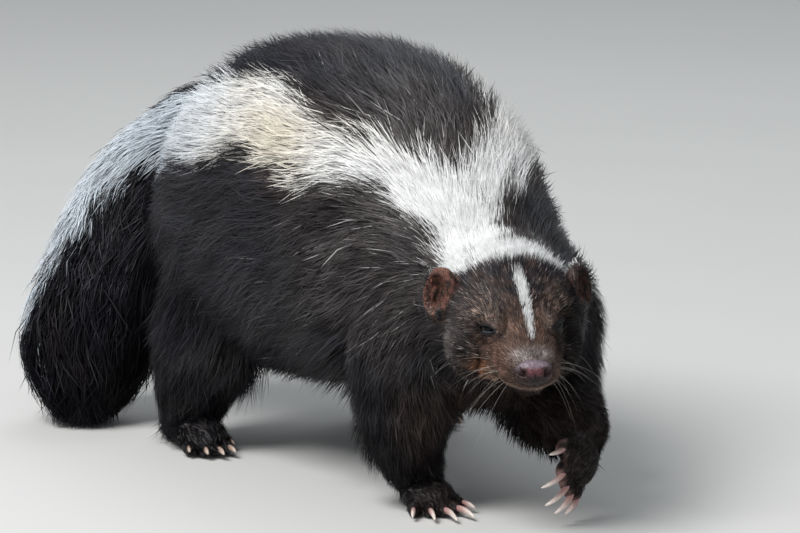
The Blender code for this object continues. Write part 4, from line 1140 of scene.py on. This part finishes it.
coat_material = textured("coat_hair", 140.0, 0.22, hair=True, Roughness=0.40, Specular_IOR_Level=0.30)
face_material = textured("face_hair", 260.0, 0.25, hair=True, Roughness=0.50, Specular_IOR_Level=0.25)
skin_material = textured("skin_surface", 900.0, 0.25, 0.0005, Roughness=0.55, Specular_IOR_Level=0.25)
nose_material = textured("nose_leather", 1400.0, 0.40, 0.00045, Roughness=0.30, Specular_IOR_Level=0.24,
                         Coat_Weight=0.06, Coat_Roughness=0.12)
claw_material = textured("claw_horn", 700.0, 0.12, 0.0001, Roughness=0.34, Specular_IOR_Level=0.5)
eye_material = textured("eye_ball", 900.0, 0.35, Roughness=0.04, Specular_IOR_Level=0.16)


# ---- Small pieces ----

def finish_piece(obj, name, material, colours, replaced):
    """Moves a made form into place and gives it its colours, material and body."""
    for old in list(obj.users_collection):
        old.objects.unlink(obj)
    bpy.context.scene.collection.objects.link(obj)
    obj.name, obj.data.name = name, name
    paint(obj.data, colours)
    obj.data.transform(Matrix.Translation(-ORIGIN))
    obj.data.materials.clear()
    obj.data.materials.append(material)
    obj.data.shade_smooth()
    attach(obj, "root")
    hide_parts(*replaced)
    return obj


def add_eyes():
    for side, name in ((-1, "right"), (1, "left")):
        centre, turn = eye_place(side)
        ball = ellipsoid("ball", centre, (EYE_RADIUS,) * 3, turn, 48)
        way = unit(coordinates(ball) - np.array(centre))
        facing, rise = ((way * np.array(turn.col[k])).sum(1) for k in (0, 2))
        colours = mixed(IRIS, PUPIL, smooth_step(facing, 0.80, 0.90))
        # Painted reflection: a pale bluish crescent low on the eyeball
        colours = mixed(colours, EYE_REFLECTION, smooth_step(-rise, 0.20, 0.28))
        finish_piece(ball, f"eyeball_{name}", eye_material, colours, [f"eye_{name}"])


def out_of_head(places):
    """Places given in the head's frame, in the body's coordinates."""
    return places @ np.array(HEAD_TURN).T + np.array(HEAD.translation)


def add_nose():
    """The bare nose: a rounded pad with wings, curved side nostrils and a groove down its middle."""
    bm = bmesh.new()
    bmesh.ops.create_icosphere(bm, subdivisions=6, radius=1)
    pad = object_from(bm, "pad")
    way = unit(coordinates(pad))
    x, y, z = way.T
    lean = math.radians(25)
    ahead, rise = x * math.cos(lean) + z * math.sin(lean), z * math.cos(lean) - x * math.sin(lean)
    wing = np.abs(y)
    front = smooth_step(ahead, 0.0, 0.4)
    spots = way * np.array(NOSE_PAD)
    spots *= (1 + 0.06 * np.exp(-((wing - 0.80) / 0.20) ** 2) * front)[:, None]
    curve = 0.83 - 2.1 * np.maximum(0.05 - rise, 0) ** 2
    comma = np.exp(-((wing - curve) / 0.075) ** 2)
    comma = comma * within((rise, -0.42, -0.26), (-rise, -0.62, -0.30), (ahead, -0.2, 0.1))
    pit = np.exp(-(((wing - 0.65) / 0.145) ** 2 + ((rise + 0.05) / 0.21) ** 2)) * front
    groove = np.exp(-(y / 0.05) ** 2) * smooth_step(-rise, -0.05, 0.35) * front
    spots -= way * (0.0016 * comma + 0.0026 * pit + 0.0007 * groove)[:, None]
    spots += way * (0.00013 * noise(way, 0.10, 41))[:, None]
    mottle = smooth_step(noise(way, 0.15, 42), -0.4, 0.7)
    colours = mixed(PLUM, PLUM * 2.2, 0.7 * mottle)
    colours = colours * (1 - 0.5 * smooth_step(-rise, 0.25, 0.60))[:, None]
    centre = np.exp(-((y / 0.48) ** 2 + ((rise - 0.10) / 0.32) ** 2))
    colours = mixed(colours, ROSE, np.clip(centre * (0.6 + 0.5 * mottle), 0, 1))
    # The pale mauve top: partly the pad's own mauve, partly a painted highlight
    top = within((rise + 0.12 * (1 - (wing / 0.7) ** 2), 0.22, 0.50), (-wing, -0.86, -0.66))
    colours = mixed(colours, MAUVE_AND_HIGHLIGHT, top * (0.75 + 0.25 * mottle))
    # Painted shade: near black in the nostrils' pits and curves and along the middle groove
    colours = mixed(colours, LID_BLACK, np.clip(pit * 1.3 + comma * 1.1 + 0.4 * groove, 0, 1))
    move_vertices(pad.data, out_of_head(spots + np.array(NOSE_PLACE)))
    finish_piece(pad, "nose_pad", nose_material, colours, ["nose"])


def add_claws():
    """Curved, slightly flattened claws with a blunt tip, paler towards it."""
    steps = 14
    sizes = np.interp(np.arange(steps + 1) / steps, *CLAW_SHAPE) * CLAW_DEPTH
    for paw in PAWS:
        for i, (place, length, bend) in enumerate(claw_frames(paw)):
            rows = []
            spot, angle = Vector((-0.0025, 0, 0)), 0.0
            for size in sizes:
                rows.append((*spot, size * 0.72, size, 0))
                angle -= bend / steps
                spot = spot + Vector((math.cos(angle), 0, math.sin(angle))) * length / steps
            claw = loft("claw", rows, sides=14, steps=1)
            share = np.clip(coordinates(claw)[:, 0] / length, 0, 1)
            claw.data.transform(place)
            keep_above(claw, TUFT_LOWEST)
            colours = mixed(*CLAW_COLOURS[paw[:4]], smooth_step(share, 0.05, 0.75))
            name = f"{paw}_{i + 1}"
            finish_piece(claw, "horn_" + name, claw_material, colours, ["claw_" + name])


def add_whiskers():
    """Long pale whiskers on the muzzle, over the eyes and on the cheeks."""
    draw = np.random.default_rng(61)
    roots, ways, sizes = [], [], []
    for side in (-1, 1):
        for row in range(WHISKER_ROWS):
            for k in range(WHISKERS_A_ROW):
                out = side * (0.0125 + 0.0020 * k)
                roots.append((-0.011 - 0.0050 * k, out, -0.0025 - 0.0030 * row))
                rise = -0.05 - 0.36 * row + 0.26 * draw.normal()
                ways.append((-0.30 - 0.20 * k + 0.20 * draw.normal(), side, rise))
                sizes.append(draw.uniform(*WHISKER_LONG))
        for k in range(2):
            roots.append((-0.041 + 0.004 * k, side * (0.017 + 0.002 * k), 0.0165))
            ways.append((-0.5, side * 0.8, 0.6 + 0.2 * k))
            sizes.append(draw.uniform(*BROW_LONG))
        roots.append((-0.047, side * 0.030, -0.012))
        ways.append((-0.5, side * 1.0, -0.5))
        sizes.append(draw.uniform(*CHEEK_LONG))
    roots, ways, sizes = np.array(roots), unit(np.array(ways)), np.array(sizes)[:, None]
    droop = np.array(WHISKER_DROOP)
    stations = np.array([out_of_head(roots + ways * sizes * t + droop * sizes * t * t)
                         for t in np.linspace(-0.06, 1, 7)])
    count = len(roots)
    outs = np.broadcast_to(np.array(HEAD_TURN) @ np.array((0.0, 0.3, 1.0)), (count, 3))
    colours = np.broadcast_to(WHISKER, (count, 3))
    uvs = np.stack([np.arange(count) / count, np.full(count, 0.99)], 1)
    piece = tuft_mesh("whiskers", stations, outs, np.full(count, WHISKER_WIDE), WHISKER_TAPER, colours,
                      colours, uvs, face_material, flat=1.0, soft=0.0)


# ---- Building ----

outline = build_outline()
skin_object = build_skin()
skin = Skin(skin_object, outline)
bpy.data.objects.remove(outline)

in_head = to_frame(HEAD, skin.middles)
region = shares_of(skin.middles)[0]
head_share, tail_share, paw_share, legs_share = (
    part_share(region, *names) for names in (["head"], ["tail"], PAWS, LEGS))
on_head = (head_share > 0.45) & (in_head[:, 0] > -0.100) & (in_head[:, 2] > -0.036)
on_paw = (paw_share > 0.5) & ~on_head
on_tail = (tail_share > 0.5) & ~on_head & ~on_paw
on_body = ~(on_head | on_tail | on_paw)
near, normal, _ = nearest(skin.outline, skin.middles)
proud = ((skin.middles - near) * normal).sum(1) > -0.0004  # out through the coat's outline
ear_near = np.max([ear_share(skin.middles, side) for side in (-1, 1)], axis=0)
on_ear = on_head & (ear_near > 0.3) & proud
on_face = on_head & ~on_ear
bare = (slit_gap(skin.middles) < 1) | (pad_gap(skin.middles) < 1.04)
toes = bare_toes(skin.middles)

# The fringe hangs under the chest and the lifted foreleg, but not where they face the photograph's right
facing = skin.normals[skin.tris].mean(1)
fringed = on_body & (facing[:, 2] < -0.30) & (facing @ np.array(VIEW_RIGHT) < 0.25)
fringed &= (skin.middles[:, 0] > 0.035) & (skin.middles[:, 2] > 0.034)
body_wanted = on_body * (1 + 0.5 * legs_share)
face_wanted = (on_face & ~bare) * np.clip(1.0 + 1.4 * smooth_step(in_head[:, 0], -0.07, -0.02), 1, 3)
paws_wanted = on_paw & (skin.middles[:, 2] > 0.004) & (toes < 0.5)

# A tuft's stations along its length, their heights in the coat's depth, and its widths there
LONG = (0.0, 0.34, 0.70, 1.0), (-0.06, 0.55, 0.88, 1.0), (0.8, 1.0, 0.7)
SHORT = (0.0, 0.45, 1.0), (-0.08, 0.62, 1.0), (0.9, 0.8)
HANGING = (0.0, 0.45, 1.0), (-0.10, 1.2, 2.3), (0.9, 0.8)
SPIKE = (0.0, 1.0), (-0.10, 1.0), (1.0,)
EAR_SPIKE = (0.0, 1.0), (-0.15, 0.9), (1.0,)

# Where, how many tufts, tufts a guide, length and its gain with depth, width, form, seed, gathering
COATS = {
    "coat_body": (body_wanted, 42000, 10, (0.006, 2.0), 0.00100, SHORT, 71, 0.20),
    "coat_fine": (body_wanted, 91000, 16, (0.005, 1.7), 0.00105, SPIKE, 76, 0.12),
    "coat_fringe": (fringed * 1.0, 5000, 6, (0.010, 1.2), 0.00080, HANGING, 78, 0.35),
    "coat_tail": (on_tail * 1.0, 12500, 10, (0.012, 2.4), 0.00115, LONG, 72, 0.36),
    "coat_face": (face_wanted, 11000, 6, (0.0026, 1.2), 0.00042, SHORT, 73, 0.20),
    "coat_face_fine": (face_wanted, 58000, 12, (0.0022, 0.95), 0.00050, SPIKE, 77, 0.10),
    "coat_ears": (on_ear * 1.0, 13000, 8, (0.0030, 0.0), 0.00042, EAR_SPIKE, 74, 0.1),
    "coat_paws": (paws_wanted, 7000, 6, (0.003, 1.4), 0.0005, SHORT, 75, 0.25),
}
SLOTS = {"coat_face": "face_coat", "coat_face_fine": "face_coat", "coat_ears": "ear_skin"}
EAR_DEEP = 0.0014  # the most depth that the ears' hair counts with
thick = 1.0
for name, (wanted, count, per_guide, reach, wide, form, seed, pull) in COATS.items():
    grow_coat(skin, name, wanted, int(count * thick), per_guide, reach, wide, *form, seed, pull,
              EAR_DEEP if name == "coat_ears" else 1.0, face_material if name in SLOTS else coat_material,
              SLOTS.get(name, "coat"))

skin_draw = np.random.default_rng(81)
skin_colours = coat_colour(skin.co + skin.normals * 0.002, skin_draw)[0][:, :3]
skin_colours = mixed(skin_colours * 0.8, LID_BLACK, smooth_step(-slit_gap(skin.co), -1.10, -0.90))
creases = 0.7 + 0.5 * noise(skin.co, 0.0035, 35)[:, None]
skin_colours = mixed(skin_colours, np.clip(TOE_SKIN * creases, 0.01, 1), bare_toes(skin.co))
in_pad = to_frame(HEAD, skin.co) - np.array(NOSE_PLACE)
rim = mixed(PLUM, MAUVE_AND_HIGHLIGHT * 0.7, smooth_step(in_pad[:, 2], 0.001, 0.006))
skin_colours = mixed(skin_colours, rim, smooth_step(-pad_gap(skin.co), -1.14, -1.06))
finish_piece(skin_object, "skin", skin_material, skin_colours,
             ["head", "neck", "torso", "tail", "ear_left", "ear_right", *LEGS, *PAWS])
add_eyes()
add_nose()
add_claws()
add_whiskers()
bpy.data.collections.remove(work)


# ---- Stage ----

def add_floor():
    bm = bmesh.new()
    bmesh.ops.create_grid(bm, x_segments=1, y_segments=1, size=6.0)
    floor = object_from(bm, "floor", bpy.context.scene.collection)
    made, nodes, links, shader = principled("floor_paper", Roughness=0.9, Specular_IOR_Level=0.2)
    grain = set_inputs(nodes.new("ShaderNodeTexNoise"), Scale=40.0)
    ramp = nodes.new("ShaderNodeValToRGB")
    ramp.color_ramp.elements[0].color = (0.60, 0.60, 0.59, 1)
    ramp.color_ramp.elements[1].color = (0.64, 0.64, 0.63, 1)
    links.new(grain.outputs["Fac"], ramp.inputs["Fac"])
    links.new(ramp.outputs["Color"], shader.inputs["Base Color"])
    floor.data.materials.append(made)


def add_light(name, place, size, power, colour):
    light = bpy.data.lights.new(name, "AREA")
    light.size, light.energy, light.color = size, power, colour
    obj = bpy.data.objects.new(name, light)
    obj.location = place
    obj.rotation_mode = "QUATERNION"
    obj.rotation_quaternion = (LIT - Vector(place)).to_track_quat("-Z", "Y")
    bpy.context.scene.collection.objects.link(obj)


# Each light's place, size, power and colour
LIGHTS = {
    "key": ((0.3, -1.4, 2.0), 1.2, 62, (1.0, 0.99, 0.975)),
    "fill": ((2.0, -0.9, 0.9), 1.8, 5, (0.95, 0.98, 1.0)),
    "rim": ((-1.2, 0.9, 1.9), 1.4, 12, (0.93, 0.97, 1.0)),
}
LIT = Vector((0, 0, 0.1))  # where the lights point
add_floor()
for name, values in LIGHTS.items():
    add_light(name, *values)
world = bpy.data.worlds.new("studio")
bpy.context.scene.world = world
world.use_nodes = True
set_inputs(world.node_tree.nodes["Background"], Color=(0.86, 0.90, 0.94, 1), Strength=0.36)
bpy.context.scene.view_settings.view_transform = "Standard"

# The photograph's view: where the tip of the nose is on its 800 x 533 frame, and metres a pixel there
AZIMUTH, ELEVATION, DISTANCE = math.radians(60), math.radians(10), 3.0
NOSE_PIXEL, PIXEL, WIDTH, HEIGHT, SENSOR = (535, 373), 0.00053, 800, 533, 36
right = Vector((math.cos(AZIMUTH), math.sin(AZIMUTH), 0))
back = Vector((math.sin(AZIMUTH) * math.cos(ELEVATION), -math.cos(AZIMUTH) * math.cos(ELEVATION),
               math.sin(ELEVATION)))
up = back.cross(right)
aim = (NOSE_TIP - ORIGIN + right * (WIDTH / 2 - NOSE_PIXEL[0]) * PIXEL
       + up * (NOSE_PIXEL[1] - HEIGHT / 2) * PIXEL)
camera = bpy.data.objects.new("camera", bpy.data.cameras.new("camera"))
bpy.context.scene.collection.objects.link(camera)
camera.location = aim + back * DISTANCE
camera.rotation_mode = "QUATERNION"
camera.rotation_quaternion = back.to_track_quat("Z", "Y")
camera.data.sensor_width = SENSOR
camera.data.lens = SENSOR * DISTANCE / (WIDTH * PIXEL)
camera.data.clip_end = 50
camera.data.dof.use_dof = False
bpy.context.scene.camera = camera
